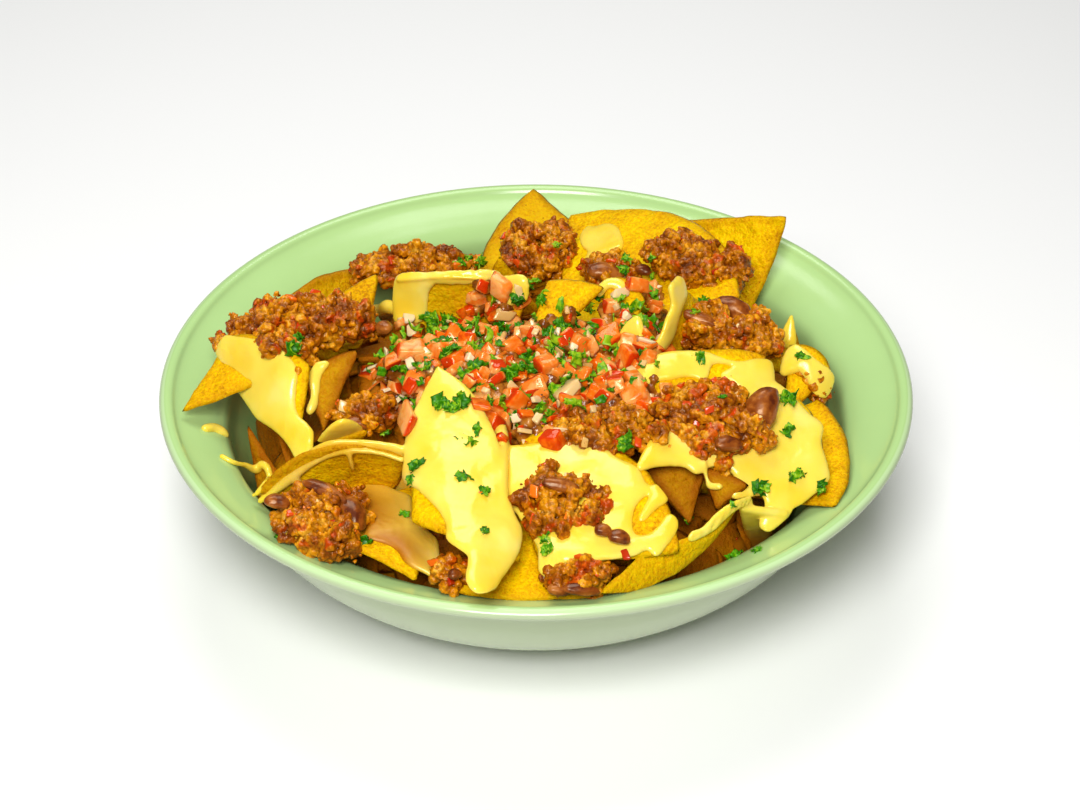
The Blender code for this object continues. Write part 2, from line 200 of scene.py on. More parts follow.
section = smooth_line(INSIDE + OUTSIDE, SECTION_STEPS)
section[0][0] = section[-1][0] = 0.0
bowl_mesh = turned(section, BOWL_TURNS)
# The glaze's colour changes over the lip, paler on it as painted light and greyer outside as painted shade:
# 0 inside, 1 outside and below.
over_lip = np.clip((np.arange(len(section)) / SECTION_STEPS - len(INSIDE) + 1.0) / 2.0, 0, 1)
# Painted shade darkens the well, from WELL_TOP down over WELL_FADE.
well_shade = np.clip((WELL_TOP - section[:, 1]) / WELL_FADE, 0, 1) * (1 - over_lip)
for name, along in (("outside", over_lip), ("deep", well_shade)):
    around = np.concatenate([along[:1], np.repeat(along[1:-1], BOWL_TURNS), along[-1:]])
    stored(bowl_mesh, name, around)

# Stoneware glaze: a clear, even gloss over a pale green body, with painted light on the lip,
# painted shade outside and in the well, and fine scuffs that dull the floor of the well.
mint, tree, shader, place = new_material("mint_stoneware_glaze", {"IOR": 1.5,
    "Specular IOR Level": 0.4})
mottle = node(tree, "ShaderNodeTexNoise", {"Scale": 45.0, "Detail": 3.0}, {"Vector": place})
# The paler lip stop is painted light, and the greyer outside stop is painted shade.
lip_light_outside_shade = node(tree, "ShaderNodeAttribute", attribute_name="outside").outputs["Fac"]
level = node(tree, "ShaderNodeMath", {1: 0.1}, {0: mottle.outputs["Fac"], 2: lip_light_outside_shade},
             operation="MULTIPLY_ADD")
glazed = node(tree, "ShaderNodeValToRGB", {}, {"Fac": level.outputs[0]}, stops=(
    (0.0, "AFD289"), (0.12, "AACC84"), (0.3, "BCD89E"), (1.0, "A9B791"))).outputs["Color"]
# Painted shade: the well is darkened towards 84A45E.
well_shaded = node(tree, "ShaderNodeMix", {"B": linear("84A45E")}, {
    "Factor": node(tree, "ShaderNodeAttribute", attribute_name="deep").outputs["Fac"], "A": glazed},
    data_type="RGBA")
tree.links.new(well_shaded.outputs["Result"], shader.inputs["Base Color"])
scuff = node(tree, "ShaderNodeTexNoise", {"Scale": 260.0, "Detail": 6.0, "Roughness": 0.7},
             {"Vector": place})
dull = node(tree, "ShaderNodeMapRange", {"From Min": 0.3, "From Max": 0.8, "To Min": 0.15,
                                         "To Max": 0.22}, {"Value": scuff.outputs["Fac"]})
tree.links.new(dull.outputs[0], shader.inputs["Roughness"])
ripple = node(tree, "ShaderNodeBump", {"Strength": 0.02, "Distance": 0.0004},
              {"Height": mottle.outputs["Fac"]})
tree.links.new(ripple.outputs[0], shader.inputs["Normal"])
piece("glazed_bowl", bowl_mesh, mint, ["bowl"])

# ---------------------------------------------------------------------------------------
# Tortilla chips: round corn tortillas cut into wedges and fried until they curl. Each is
# a curved wedge from its three corners, how far each side bulges, and how far each side's
# middle is lifted, with rounded ragged edges, small blisters and an uneven surface.
CHIP_THICKNESS = 2.0
CHIP_GRID = 1.25
RIM_REACH = 3.5
CHIPS = {
    "front": ((-31, -40, 28), (-39, -94, 6), (-4, -108, 1), (3, 3, 5), (-2, 8, 0)),
    "arch_front": ((-50, -56, -16), (-92, -66, -4), (-40, -67, 12), (0, 10, 0), (0, 6, 0)),
    "front_left": ((-34, -55, -6), (-84, -85, -4), (-37, -107, -7), (0, -1, 0), (0, 3, 0)),
    "front_right": ((2, -108, -1), (-5, -52, 16), (46, -102, 0), (3, 14, 0), (0, 3, 2)),
    "right_front": ((50, -60, 11), (91, -66, -2), (88, -30, 10), (0, 4, 0), (0, 3, 0)),
    "right_wall": ((42, -38, -22), (97, -74, -3), (97, -14, -1), (0, 7, 0), (0, -2, 0)),
    "front_round": ((36, -100, 3), (19, -117, -3), (67, -78, 6), (0, 9, -4), (0, -5, 0)),
    "right_middle": ((55, -62, 6), (35, -28, 18), (79, -14, 16), (0, 4, 0), (0, 3, 0)),
    "left_tip": ((-121, -25, -1), (-102, 22, 10), (-80, -12, 10), (0, 4, 0), (0, 2, 0)),
    "left_coated": ((-80, -41, -6), (-107, 4, 12), (-76, -19, 15), (0, 4, 0), (0, 3, 0)),
    "left_inner": ((-72, -30, -6), (-79, -17, 9), (-60, -11, 17), (0, 2, 0), (0, -3, 0)),
    "upright": ((-41, 21, -14), (-48, 27, 22), (-9, 24, 24), (2, 2, 8), (0, 3, 0)),
    "lean": ((-8, -18, 8), (4, 15, 28), (24, 13, 26), (0, 1, 0), (0, 1, 0)),
    "back_round": ((8, 36, -8), (11, 111, -4), (74, 32, 8), (0, 21, 0), (0, 4, 0)),
    "over_rim": ((93, 72, 20), (44, 105, -4), (70, 46, -26), (0, 4, 0), (2, 0, -3)),
    "back_wall": ((-1, 123, 2), (-24, 76, -17), (32, 86, -12), (5, 4, 0), (0, 2, 0)),
    "leaf": ((-57, 48, 10), (-85, 33, -5), (-61, 9, 4), (0, 4, 0), (2, 0, -2)),
    "left_wall": ((-70, 45, -34), (-99, 36, -8), (-67, 80, -8), (0, 6, 0), (0, 0, 0)),
    "sail": ((48, 9, 32), (40, -11, 12), (64, 20, 8), (0, 3, 0), (3, 0, 0)),
    "peak_right": ((34, -5, 25), (27, -8, 12), (37, -14, 10), (0, 2, 0), (0, 0, 0)),
    "right_spike": ((90, 20, 10), (80, 12, -6), (95, 8, -6), (0, 2, 0), (0, 0, 0)),
    "right_fold": ((84, -22, -4), (87, 0, 11), (102, -9, 4), (0, 3, 0), (0, 4, 0)),
    "front_low": ((-4, -72, 0), (-26, -113, -6), (25, -113, -6), (0, 3, 0), (0, 0, 0)),
    "cave_side": ((58, -76, -3), (53, -64, 6), (69, -72, 5), (0, 1, 0), (0, 2, 0)),
    "cave": ((50, -76, -9), (34, -64, 5), (56, -60, 5), (0, 1, 0), (0, 2, 0)),
    "gap_tall": ((-99, -21, -7), (-85, -40, -18), (-94, -38, -30), (0, 2, 0), (0, 0, 0)),
    "gap_thin": ((-89, -23, -8), (-84, -35, -16), (-72, -18, -26), (0, 2, 0), (0, 0, 0)),
    "left_small": ((-60, -38, -8), (-70, -48, 3), (-55, -47, 9), (0, 2, 0), (0, 0, 0)),
    "peak": ((-13, 35, 26), (-22, 40, -2), (2, 37, 0), (0, 2, 0), (0, 0, 0)),
    "bit_back": ((-6, 7, 10), (-13, 17, 28), (-3, 13, 29), (0, 0, 0), (0, 0, 0)),
    "arch_back": ((27, -8, 2), (23, 20, 24), (38, 14, 20), (0, 5, 0), (0, 0, 0)),
}


def wedge(corners, bulges, lifts):
    """The corners and side handles of a curved wedge, its upward direction and heights."""
    c = np.array(corners, float)
    up = np.cross(c[1] - c[0], c[2] - c[0])
    area = np.linalg.norm(up)
    up = up / area * (1 if up[2] > 0 else -1)
    handles, heights = [], []
    for side in range(3):
        a, b, other = c[side], c[(side + 1) % 3], c[(side + 2) % 3]
        along = (b - a) / np.linalg.norm(b - a)
        out = (a + b) / 2 - other
        out -= along * out.dot(along)
        out /= np.linalg.norm(out)
        handles.append((a + b) / 2 + 2 * (out * bulges[side] + up * lifts[side]))
        heights.append(area / np.linalg.norm(b - a))
    return c, np.array(handles), up, np.roll(heights, -1)


def on_wedge(shape, share):
    """Points of a curved wedge, and the directions square to it on its upper side."""
    c, h, up, _ = shape
    u, v, w = (share[:, [k]] for k in range(3))
    place = c[0] * u * u + c[1] * v * v + c[2] * w * w
    place = place + 2 * (h[0] * u * v + h[1] * v * w + h[2] * w * u)
    by_u = c[0] * u + h[0] * v + h[2] * w
    by_v = c[1] * v + h[0] * u + h[1] * w
    by_w = c[2] * w + h[1] * v + h[2] * u
    square = np.cross(by_v - by_u, by_w - by_u)
    square /= np.linalg.norm(square, axis=1, keepdims=True) + 1e-12
    return place, square * np.where(square @ up > 0, 1, -1)[:, None]


noise.seed_set(1)    # the noise of wander() is otherwise different in each session


def wander(places, scale, seed):
    """A smooth random vector at each place, with bumps about one scale across."""
    return np.array([noise.noise_vector(Vector(p) / scale + Vector((seed, 0, 0))) for p in places])


def chip_mesh(shape, seed, grid=CHIP_GRID):
    """A fried wedge with rounded edges and corners and an uneven, blistered surface."""
    c, _, _, heights = shape
    longest = max(np.linalg.norm(c[k] - c[k - 1]) for k in range(3))
    n = max(10, round(longest / grid))
    index, shares = {}, []
    for i in range(n + 1):
        for j in range(n + 1 - i):
            index[i, j] = len(shares)
            shares.append(((n - i - j) / n, i / n, j / n))
    shares = np.array(shares)
    rows = np.array([key for key in index])
    edge = (rows[:, 0] == 0) | (rows[:, 1] == 0) | (rows.sum(axis=1) == n)
    blunt = 0.05 * shares.max(axis=1, keepdims=True) ** 14
    shares = shares * (1 - blunt) + blunt / 3
    middle, square = on_wedge(shape, shares)
    depth = (shares * heights).min(axis=1)
    depth[edge] = 0.0
    rounding = np.clip(depth / (0.75 * CHIP_THICKNESS), 0, 1)
    half = CHIP_THICKNESS / 2 * np.sqrt(np.clip(1 - (1 - rounding) ** 2, 0, 1))
    middle = middle + wander(middle, 9.0, seed) * 0.55 + wander(middle, 3.1, seed + 9) * 0.17
    swell = wander(middle, 4.2, seed + 17)[:, 0]
    blister = np.clip(swell - 0.16, 0, 1) * 1.2 * rounding
    top = middle + square * (half + blister)[:, None]
    inner = ~edge
    lower = np.where(edge, np.arange(len(shares)), 0)
    lower[inner] = len(shares) + np.arange(inner.sum())
    bottom = (middle - square * (half - blister * 0.6)[:, None])[inner]
    faces = []
    for i in range(n):
        for j in range(n - i):
            a, b, d = index[i, j], index[i + 1, j], index[i, j + 1]
            faces.append((a, b, d))
            faces.append((lower[a], lower[d], lower[b]))
            if j < n - i - 1:
                e = index[i + 1, j + 1]
                faces.append((b, e, d))
                faces.append((lower[b], lower[d], lower[e]))
    near = np.clip(1 - depth / RIM_REACH, 0, 1)
    mesh = bpy.data.meshes.new("chip")
    mesh.from_pydata(metres(np.vstack([top, bottom])), [], faces)
    shape_out = bmesh.new()
    shape_out.from_mesh(mesh)
    bmesh.ops.recalc_face_normals(shape_out, faces=shape_out.faces)
    if shape_out.calc_volume(signed=True) < 0:
        bmesh.ops.reverse_faces(shape_out, faces=shape_out.faces)
    shape_out.to_mesh(mesh)
    shape_out.free()
    return stored(mesh, "rim", np.append(near, near[inner]))


# Fried corn: a strong, even golden yellow a little deeper in clouds 10 to 20 mm across,
# amber at the edges and where a chip is fried longer, and amber painted shade on chips that
# lie in hollows and deep in the heap, with brown specks of maize skin under 1 mm across, a
# grainy 0.6 mm surface and very little shine.
corn, tree, shader, place = new_material("fried_corn_tortilla", {"Roughness": 0.45,
    "Specular IOR Level": 0.16, "Specular Tint": (1.0, 0.75, 0.3, 1.0), "Subsurface Weight": 0.2,
    "Subsurface Radius": (0.004, 0.0017, 0.0003), "Subsurface Scale": 0.6})
cloud = node(tree, "ShaderNodeTexNoise", {"Scale": 60.0, "Detail": 3.0, "Roughness": 0.55},
             {"Vector": place})
grain = node(tree, "ShaderNodeTexNoise", {"Scale": 900.0, "Detail": 3.0, "Roughness": 0.65},
             {"Vector": place})
uneven = node(tree, "ShaderNodeMix", {"Factor": 0.5}, {"A": grain.outputs["Fac"],
                                                       "B": cloud.outputs["Fac"]})
colour = node(tree, "ShaderNodeValToRGB", {}, {"Fac": uneven.outputs["Result"]}, stops=(
    (0.34, "C07E00"), (0.45, "E8AE00"), (0.55, "F8CA00"), (0.68, "FFE00C"))).outputs["Color"]
speck = node(tree, "ShaderNodeTexVoronoi", {"Scale": 520.0}, {"Vector": place})
spot = node(tree, "ShaderNodeMapRange", {"From Min": 0.08, "From Max": 0.2, "To Min": 1.0,
                                         "To Max": 0.0}, {"Value": speck.outputs["Distance"]})
rare = node(tree, "ShaderNodeTexNoise", {"Scale": 190.0, "Detail": 2.0}, {"Vector": place})
some = node(tree, "ShaderNodeMapRange", {"From Min": 0.6, "From Max": 0.68},
            {"Value": rare.outputs["Fac"]})
both = node(tree, "ShaderNodeMath", {}, {0: spot.outputs[0], 1: some.outputs[0]}, operation="MULTIPLY")
freckled = node(tree, "ShaderNodeMix", {"B": linear("96600A")}, {"Factor": both.outputs[0], "A": colour},
                data_type="RGBA")
# This attribute carries both longer frying and painted shade for chips in hollows and deep in the heap.
brown_and_shade = node(tree, "ShaderNodeAttribute", attribute_name="toast").outputs["Fac"]
patchy = node(tree, "ShaderNodeMapRange", {"From Min": 0.3, "From Max": 0.65, "To Min": 0.7,
                                           "To Max": 1.1}, {"Value": cloud.outputs["Fac"]})
rim = node(tree, "ShaderNodeAttribute", attribute_name="rim").outputs["Fac"]
edged = node(tree, "ShaderNodeMath", {1: 0.4}, {0: rim, 2: brown_and_shade}, operation="MULTIPLY_ADD")
browning_with_shade = node(tree, "ShaderNodeMath", {}, {0: edged.outputs[0], 1: patchy.outputs[0]},
              operation="MULTIPLY", use_clamp=True)
browned_and_shaded = node(tree, "ShaderNodeMix", {"B": linear("A05A04")}, {
    "Factor": browning_with_shade.outputs[0], "A": freckled.outputs["Result"]}, data_type="RGBA")
tree.links.new(browned_and_shaded.outputs["Result"], shader.inputs["Base Color"])
blister = node(tree, "ShaderNodeTexVoronoi", {"Scale": 330.0, "Smoothness": 0.5}, {"Vector": place},
               feature="SMOOTH_F1")
raised = node(tree, "ShaderNodeMath", {1: -0.7}, {0: blister.outputs["Distance"], 2: grain.outputs["Fac"]},
              operation="MULTIPLY_ADD")
gritty = node(tree, "ShaderNodeBump", {"Strength": 0.9, "Distance": 0.0009}, {"Height": raised.outputs[0]})
tree.links.new(gritty.outputs[0], shader.inputs["Normal"])

# How brown each chip is painted, partly from longer frying and partly painted shade on the
# chips in the cave, the gaps, the hollows and against the back wall; and the two scorched spots.
TOAST_AND_SHADE = {
    "upright": 0.4, "arch_front": 0.3, "left_inner": 0.7, "cave": 0.9, "cave_side": 0.7,
    "gap_tall": 0.85, "gap_thin": 0.85, "left_wall": 0.45, "left_small": 0.2, "back_wall": 0.34,
    "right_wall": 0.1, "left_tip": 0.1, "peak": 0.1, "front_low": 0.1, "right_spike": 0.15,
}
SCORCHED = {"back_wall": ((3, 111, 2), 4.0), "over_rim": ((83, 80, 8), 3.5)}


def toasted_and_shaded_by(name, mesh):
    """Stores how brown each part of a chip is painted, fried colour and painted shade together, from 0
    golden to 1 amber brown.
    """
    amount = np.full(len(mesh.vertices), TOAST_AND_SHADE.get(name, 0.0))
    if name in SCORCHED:
        centre, reach = SCORCHED[name]
        away = np.linalg.norm(points_of(mesh) - centre, axis=1)
        amount = np.maximum(amount, 1.2 - 1.2 * away / reach)
    return stored(mesh, "toast", amount)


shapes = {name: wedge(row[:3], *row[3:]) for name, row in CHIPS.items()}
for number, (name, shape) in enumerate(shapes.items()):
    fried_mesh = toasted_and_shaded_by(name, chip_mesh(shape, 3.7 * number))
    piece("tortilla_" + name, fried_mesh, corn, ["chip_" + name])

# ---------------------------------------------------------------------------------------
# Buried chips: the broken chips that fill the bowl under the ones on top, lying at every
# angle over a core that they hide. They are the same fried corn, painted browner the deeper
# they lie as painted shade, and the ones by the wall are pressed against it.
HEAP_SINK = 4.0
LOWEST = -50.0
WALL_GAP = 1.0
BROKEN = (
    ((0, 0, 0), (30, 2, 0), (9, 24, 2), (1, 2, 0), (0, 3, 2)),
    ((0, 0, 0), (26, -6, 1), (18, 20, 0), (0, 2, 1), (0, 2, 3)),
    ((0, 0, 0), (34, 4, 2), (14, 17, 0), (0, 1, 2), (2, 4, 0)),
    ((0, 0, 0), (22, 4, 0), (6, 26, 3), (1, 0, 1), (2, -3, 2)),
)


def node_tree(name, inputs):
    """A new geometry node tree with its inputs, its input node and its output node."""
    tree = bpy.data.node_groups.new(name, "GeometryNodeTree")
    tree.interface.new_socket("Geometry", in_out="INPUT", socket_type="NodeSocketGeometry")
    for title, kind in inputs.items():
        tree.interface.new_socket(title, in_out="INPUT", socket_type="NodeSocket" + kind)
    tree.interface.new_socket("Geometry", in_out="OUTPUT", socket_type="NodeSocketGeometry")
    return tree, node(tree, "NodeGroupInput").outputs


def dressed_output(tree, geometry, look):
    """Ends a tree: instances made real, the material set, and the result given out."""
    real = node(tree, "GeometryNodeRealizeInstances", {}, {"Geometry": geometry})
    dressed = node(tree, "GeometryNodeSetMaterial", {}, {"Geometry": real.outputs["Geometry"],
                                                         "Material": look})
    node(tree, "NodeGroupOutput", {}, {"Geometry": dressed.outputs["Geometry"]})


def grown(mesh, tree, values):
    """The plain mesh that a node tree makes from a mesh."""
    holder = bpy.data.objects.new("holder", mesh)
    bpy.context.scene.collection.objects.link(holder)
    modifier = holder.modifiers.new("nodes", "NODES")
    modifier.node_group = tree
    for socket in tree.interface.items_tree:
        if socket.in_out == "INPUT" and socket.name in values:
            modifier[socket.identifier] = values[socket.name]
    bpy.context.view_layer.update()
    depsgraph = bpy.context.evaluated_depsgraph_get()
    made = bpy.data.meshes.new_from_object(holder.evaluated_get(depsgraph))
    bpy.data.objects.remove(holder)
    return made


def variants(name, meshes):
    """A collection of loose shapes to scatter, outside the scene."""
    group = bpy.data.collections.new(name)
    for number, mesh in enumerate(meshes):
        group.objects.link(bpy.data.objects.new(f"{name}_{number}", mesh))
    return group


# Scattered bits: spaced over the upward faces of a surface, sunk a little into it, turned
# at random, each with its own shade, and made real.
scatter, inputs = node_tree("scattered_bits", {
    "Bits": "Collection", "Spacing": "Float", "Seed": "Int", "Smallest": "Float", "Largest": "Float",
    "Tilt": "Float", "Sink": "Float", "Upward": "Float", "Share": "Float", "Material": "Material"})
facing = node(scatter, "GeometryNodeInputNormal")
split = node(scatter, "ShaderNodeSeparateXYZ", {}, {"Vector": facing.outputs["Normal"]})
upward = node(scatter, "FunctionNodeCompare", {}, {"A": split.outputs["Z"], "B": inputs["Upward"]},
              data_type="FLOAT", operation="GREATER_THAN")
spots = node(scatter, "GeometryNodeDistributePointsOnFaces", {"Density Max": 4e5}, {
    "Mesh": inputs["Geometry"], "Selection": upward.outputs["Result"],
    "Distance Min": inputs["Spacing"], "Density Factor": inputs["Share"], "Seed": inputs["Seed"]},
    distribute_method="POISSON")
chosen = node(scatter, "GeometryNodeCollectionInfo", {"Separate Children": True,
                                                      "Reset Children": True},
              {"Collection": inputs["Bits"]})
pick = node(scatter, "FunctionNodeRandomValue", {"Min": 0, "Max": 99}, {"Seed": inputs["Seed"]},
            data_type="INT")
scale = node(scatter, "FunctionNodeRandomValue", {}, {
    "Min": inputs["Smallest"], "Max": inputs["Largest"], "Seed": inputs["Seed"]}, data_type="FLOAT")
laid = node(scatter, "GeometryNodeInstanceOnPoints", {"Pick Instance": True}, {
    "Points": spots.outputs["Points"], "Instance": chosen.outputs["Instances"],
    "Instance Index": pick.outputs["Value"], "Rotation": spots.outputs["Rotation"],
    "Scale": scale.outputs["Value"]})
below = node(scatter, "ShaderNodeMath", {1: -1.0}, {0: inputs["Tilt"]}, operation="MULTIPLY")
least = node(scatter, "ShaderNodeCombineXYZ", {"Z": -3.2},
             {"X": below.outputs[0], "Y": below.outputs[0]})
most = node(scatter, "ShaderNodeCombineXYZ", {"Z": 3.2}, {"X": inputs["Tilt"], "Y": inputs["Tilt"]})
turn = node(scatter, "FunctionNodeRandomValue", {}, {
    "Min": least.outputs[0], "Max": most.outputs[0], "Seed": inputs["Seed"]}, data_type="FLOAT_VECTOR")
sunk = node(scatter, "ShaderNodeCombineXYZ", {}, {"Z": inputs["Sink"]})
lowered = node(scatter, "GeometryNodeTranslateInstances", {}, {
    "Instances": laid.outputs["Instances"], "Translation": sunk.outputs[0]})
spun = node(scatter, "GeometryNodeRotateInstances", {}, {
    "Instances": lowered.outputs["Instances"], "Rotation": turn.outputs["Value"]})
chance = node(scatter, "FunctionNodeRandomValue", {}, {"Seed": inputs["Seed"]}, data_type="FLOAT")
shaded = node(scatter, "GeometryNodeStoreNamedAttribute", {"Name": "shade"}, {
    "Geometry": spun.outputs["Instances"], "Value": chance.outputs["Value"]},
    data_type="FLOAT", domain="INSTANCE")
dressed_output(scatter, shaded.outputs["Geometry"], inputs["Material"])


def scattered(ground, bits, look, spacing, seed, sizes, tilt, sink, upward=0.15, share=1.0):
    """Bits over a surface as one mesh; lengths are in millimetres."""
    return grown(ground.copy(), scatter, {
        "Bits": bits, "Material": look, "Spacing": spacing / 1000, "Seed": seed,
        "Smallest": sizes[0], "Largest": sizes[1], "Tilt": tilt, "Sink": sink / 1000,
        "Upward": upward, "Share": share})


shrunk = bmesh.new()
shrunk.from_mesh(frame["nodes"]["heap_core"].data)
bmesh.ops.remove_doubles(shrunk, verts=shrunk.verts, dist=1e-5)
shrunk.normal_update()
for vertex in shrunk.verts:
    vertex.co -= vertex.normal * HEAP_SINK / 1000 * (1 if vertex.normal.z > 0.1 else 0)
core_mesh = as_mesh("core", shrunk)
# The core is painted fully brown as painted shade, deep inside the heap.
stored(core_mesh, "toast", [1.0] * len(core_mesh.vertices))
piece("buried_chips_core", core_mesh, corn, ["heap_core"])
on_table = (0, 0, -RIM_HEIGHT)
broken = variants("broken_chip", [
    chip_mesh(wedge([np.add(corner, on_table) - (14, 9, 0) for corner in row[:3]], *row[3:]),
              50.0 + k, grid=2.6) for k, row in enumerate(BROKEN)])
bits_mesh = scattered(core_mesh, broken, corn, 10.5, 5, (0.6, 1.05), 0.55, 1.2, upward=0.35)
# Nothing reaches past the inside of the bowl.
places = points_of(bits_mesh)
wall = np.array(INSIDE, float)
places[:, 2] = np.clip(places[:, 2], LOWEST, None)
reach = np.linalg.norm(places[:, :2], axis=1)
most = np.interp(places[:, 2], wall[2:, 1], wall[2:, 0]) - WALL_GAP
places[:, :2] *= np.minimum(1, most / reach)[:, None]
bits_mesh.vertices.foreach_set("co", metres(places).ravel())
# Painted shade: the deeper they lie the browner they are painted, and each one differs a little.
each = np.empty(len(places))
bits_mesh.attributes["shade"].data.foreach_get("value", each)
# Painted shade: browner with depth, plus each piece's own random tone.
brown_and_shade = np.clip(0.22 - 0.02 * places[:, 2] + 0.4 * (each - 0.5), 0.1, 1)
stored(bits_mesh, "toast", brown_and_shade)
piece("buried_broken_chips", bits_mesh, corn)

# ---------------------------------------------------------------------------------------
# Cheese sauce: melted cheese poured over the chips while hot. It lies thick with rolled
# edges and runs off them in drips. Each pour is an outline on a chip, as shares in
# hundredths of its second and third corners, filled with drops that melt into one skin.
POUR_STEP = 0.75
POUR_EDGE = 0.95
POUR_DEPTH = 1.55
POUR_BLEND = 3.2
POUR_VOXEL = 0.5
RUN_STEPS = 14
CURTAIN_LINES = 18
POURS = {
    "cheese_front": (
        ("front", ((1, -1), (23, -4), (47, -7), (63, -6), (77, -4), (71, 5), (65, 17), (60, 29), (60,
         37), (64, 39), (56, 50), (48, 60), (52, 63), (56, 66), (50, 75), (41, 82), (30, 88), (23, 89),
         (17, 90), (10, 91), (4, 90), (0, 85), (2, 78), (3, 71), (4, 66), (0, 58), (-4, 48), (-6, 32),
         (-5, 16))),
        ("arch_front", ((100, -1), (85, 7), (71, 24), (59, 37), (45, 55), (33, 67), (17, 85), (6, 99),
         (0, 101), (5, 86), (15, 77), (24, 64), (26, 54), (30, 58), (44, 45), (52, 36), (56, 27), (61,
         22), (65, 22), (71, 16), (83, 5))),
        ("arch_front", ((1, 101), (-6, 55), (-13, 21), (-5, 24), (5, 30), (5, 53), (5, 79))),
        ("front_left", ((62, -28), (49, -23), (36, -11), (23, 4), (14, 14), (10, 38), (-1, 55), (-7,
         64), (-10, 80), (-12, 99), (-4, 93), (8, 82), (17, 66), (25, 57), (38, 46), (38, 31), (46,
         1))),
        ("front_left", ((100, -3), (95, -14), (84, -5), (62, 35), (81, 25), (95, 9))),
        ("front_right", ((85, -7), (67, -7), (52, -7), (45, -6), (38, -3), (28, -1), (21, 1), (13, 3),
         (5, 1), (-2, -1), (-6, 4), (-5, 9), (2, 15), (-1, 26), (0, 40), (0, 53), (1, 65), (3, 73), (0,
         80), (3, 84), (9, 88), (13, 87), (16, 81), (11, 77), (8, 71), (9, 62), (16, 58), (23, 58), (27,
         61), (29, 66), (33, 61), (42, 54), (50, 43), (60, 34))),
        ("front_right", ((30, 65), (31, 67), (28, 71), (23, 76), (22, 74), (20, 70), (17, 67), (16, 64),
         (21, 65), (26, 67))),
    ),
    "cheese_right": (
        ("right_front", ((-26, -7), (-3, -44), (3, -33), (16, -22), (22, -23), (28, -24), (29, -21),
         (27, -16), (30, -9), (39, -9), (50, -13), (61, -23), (69, -30), (75, -25), (80, -19), (97,
         -28), (111, -40), (120, -41), (117, -33), (112, -25), (107, -20), (106, -14), (103, -7), (100,
         0), (94, 11), (83, 20), (55, 42), (38, 63), (22, 73), (4, 89), (-9, 102), (-28, 116), (-47,
         106))),
        ("right_middle", ((106, -1), (95, 10), (83, 21), (58, 40), (46, 49), (31, 58), (18, 69), (5,
         87), (-3, 95), (-12, 84), (2, 63), (16, 56), (25, 51), (19, 65), (38, 49), (38, 37), (51, 29),
         (69, 14), (84, 3), (89, -5))),
        ("front_round", ((4, 103), (-17, 72), (-22, 59), (-20, 49), (-13, 45), (-8, 42), (-8, 31), (1,
         33), (2, 46), (0, 58), (-6, 68), (-2, 86), (14, 110))),
        ("right_spike", ((1, 1), (26, 4), (38, 16), (12, 39), (4, 22))),
        ("right_fold", ((83, 13), (37, 50), (0, 95), (-13, 87), (4, 56), (43, 24), (60, -3), (87, 3))),
        ("sail", ((2, -5), (26, -24), (40, -14), (60, -18), (82, -16), (100, -17), (103, -9), (86, -2),
         (67, 3), (45, 1), (28, 6), (13, 12), (6, 10), (-1, 5))),
        ("peak_right", ((95, -9), (55, -13), (17, -7), (-11, 5), (-18, 29), (-5, 65))),
    ),
    "cheese_left_and_back": (
        ("left_coated", ((97, 2), (106, -14), (98, -19), (90, -23), (74, -20), (61, -19), (48, -18),
         (28, -7), (15, -1), (4, 1), (-3, 0), (-9, 5), (-15, 21), (-15, 36), (-13, 46), (-6, 43), (4,
         36), (10, 41), (11, 53), (13, 72), (33, 62), (64, 31), (80, 16))),
        ("left_inner", ((76, 26), (84, 9), (62, 4), (62, -12), (55, -10), (46, 0), (50, 11), (58, 26),
         (49, 45))),
        ("left_small", ((112, 3), (80, 57), (57, 84), (20, 86), (7, 63), (33, 29))),
        ("upright", ((97, -2), (99, 2), (69, 31), (64, 32), (63, 24), (55, 20), (46, 15), (54, -3),
         (79, -4))),
        ("upright", ((73, 29), (11, 91), (10, 89), (69, 28))),
        ("bit_back", ((84, 16), (6, 99), (-6, 71), (72, -13))),
        ("arch_back", ((102, -7), (88, 10), (55, 37), (54, 32), (84, 8), (92, -6))),
        ("back_round", ((76, 9), (72, 12), (71, 15), (66, 19), (58, 22), (48, 24), (45, 22), (47, 17),
         (45, 15), (37, 14), (39, 11), (49, 10), (54, 11), (63, 8), (71, 7))),
    ),
}
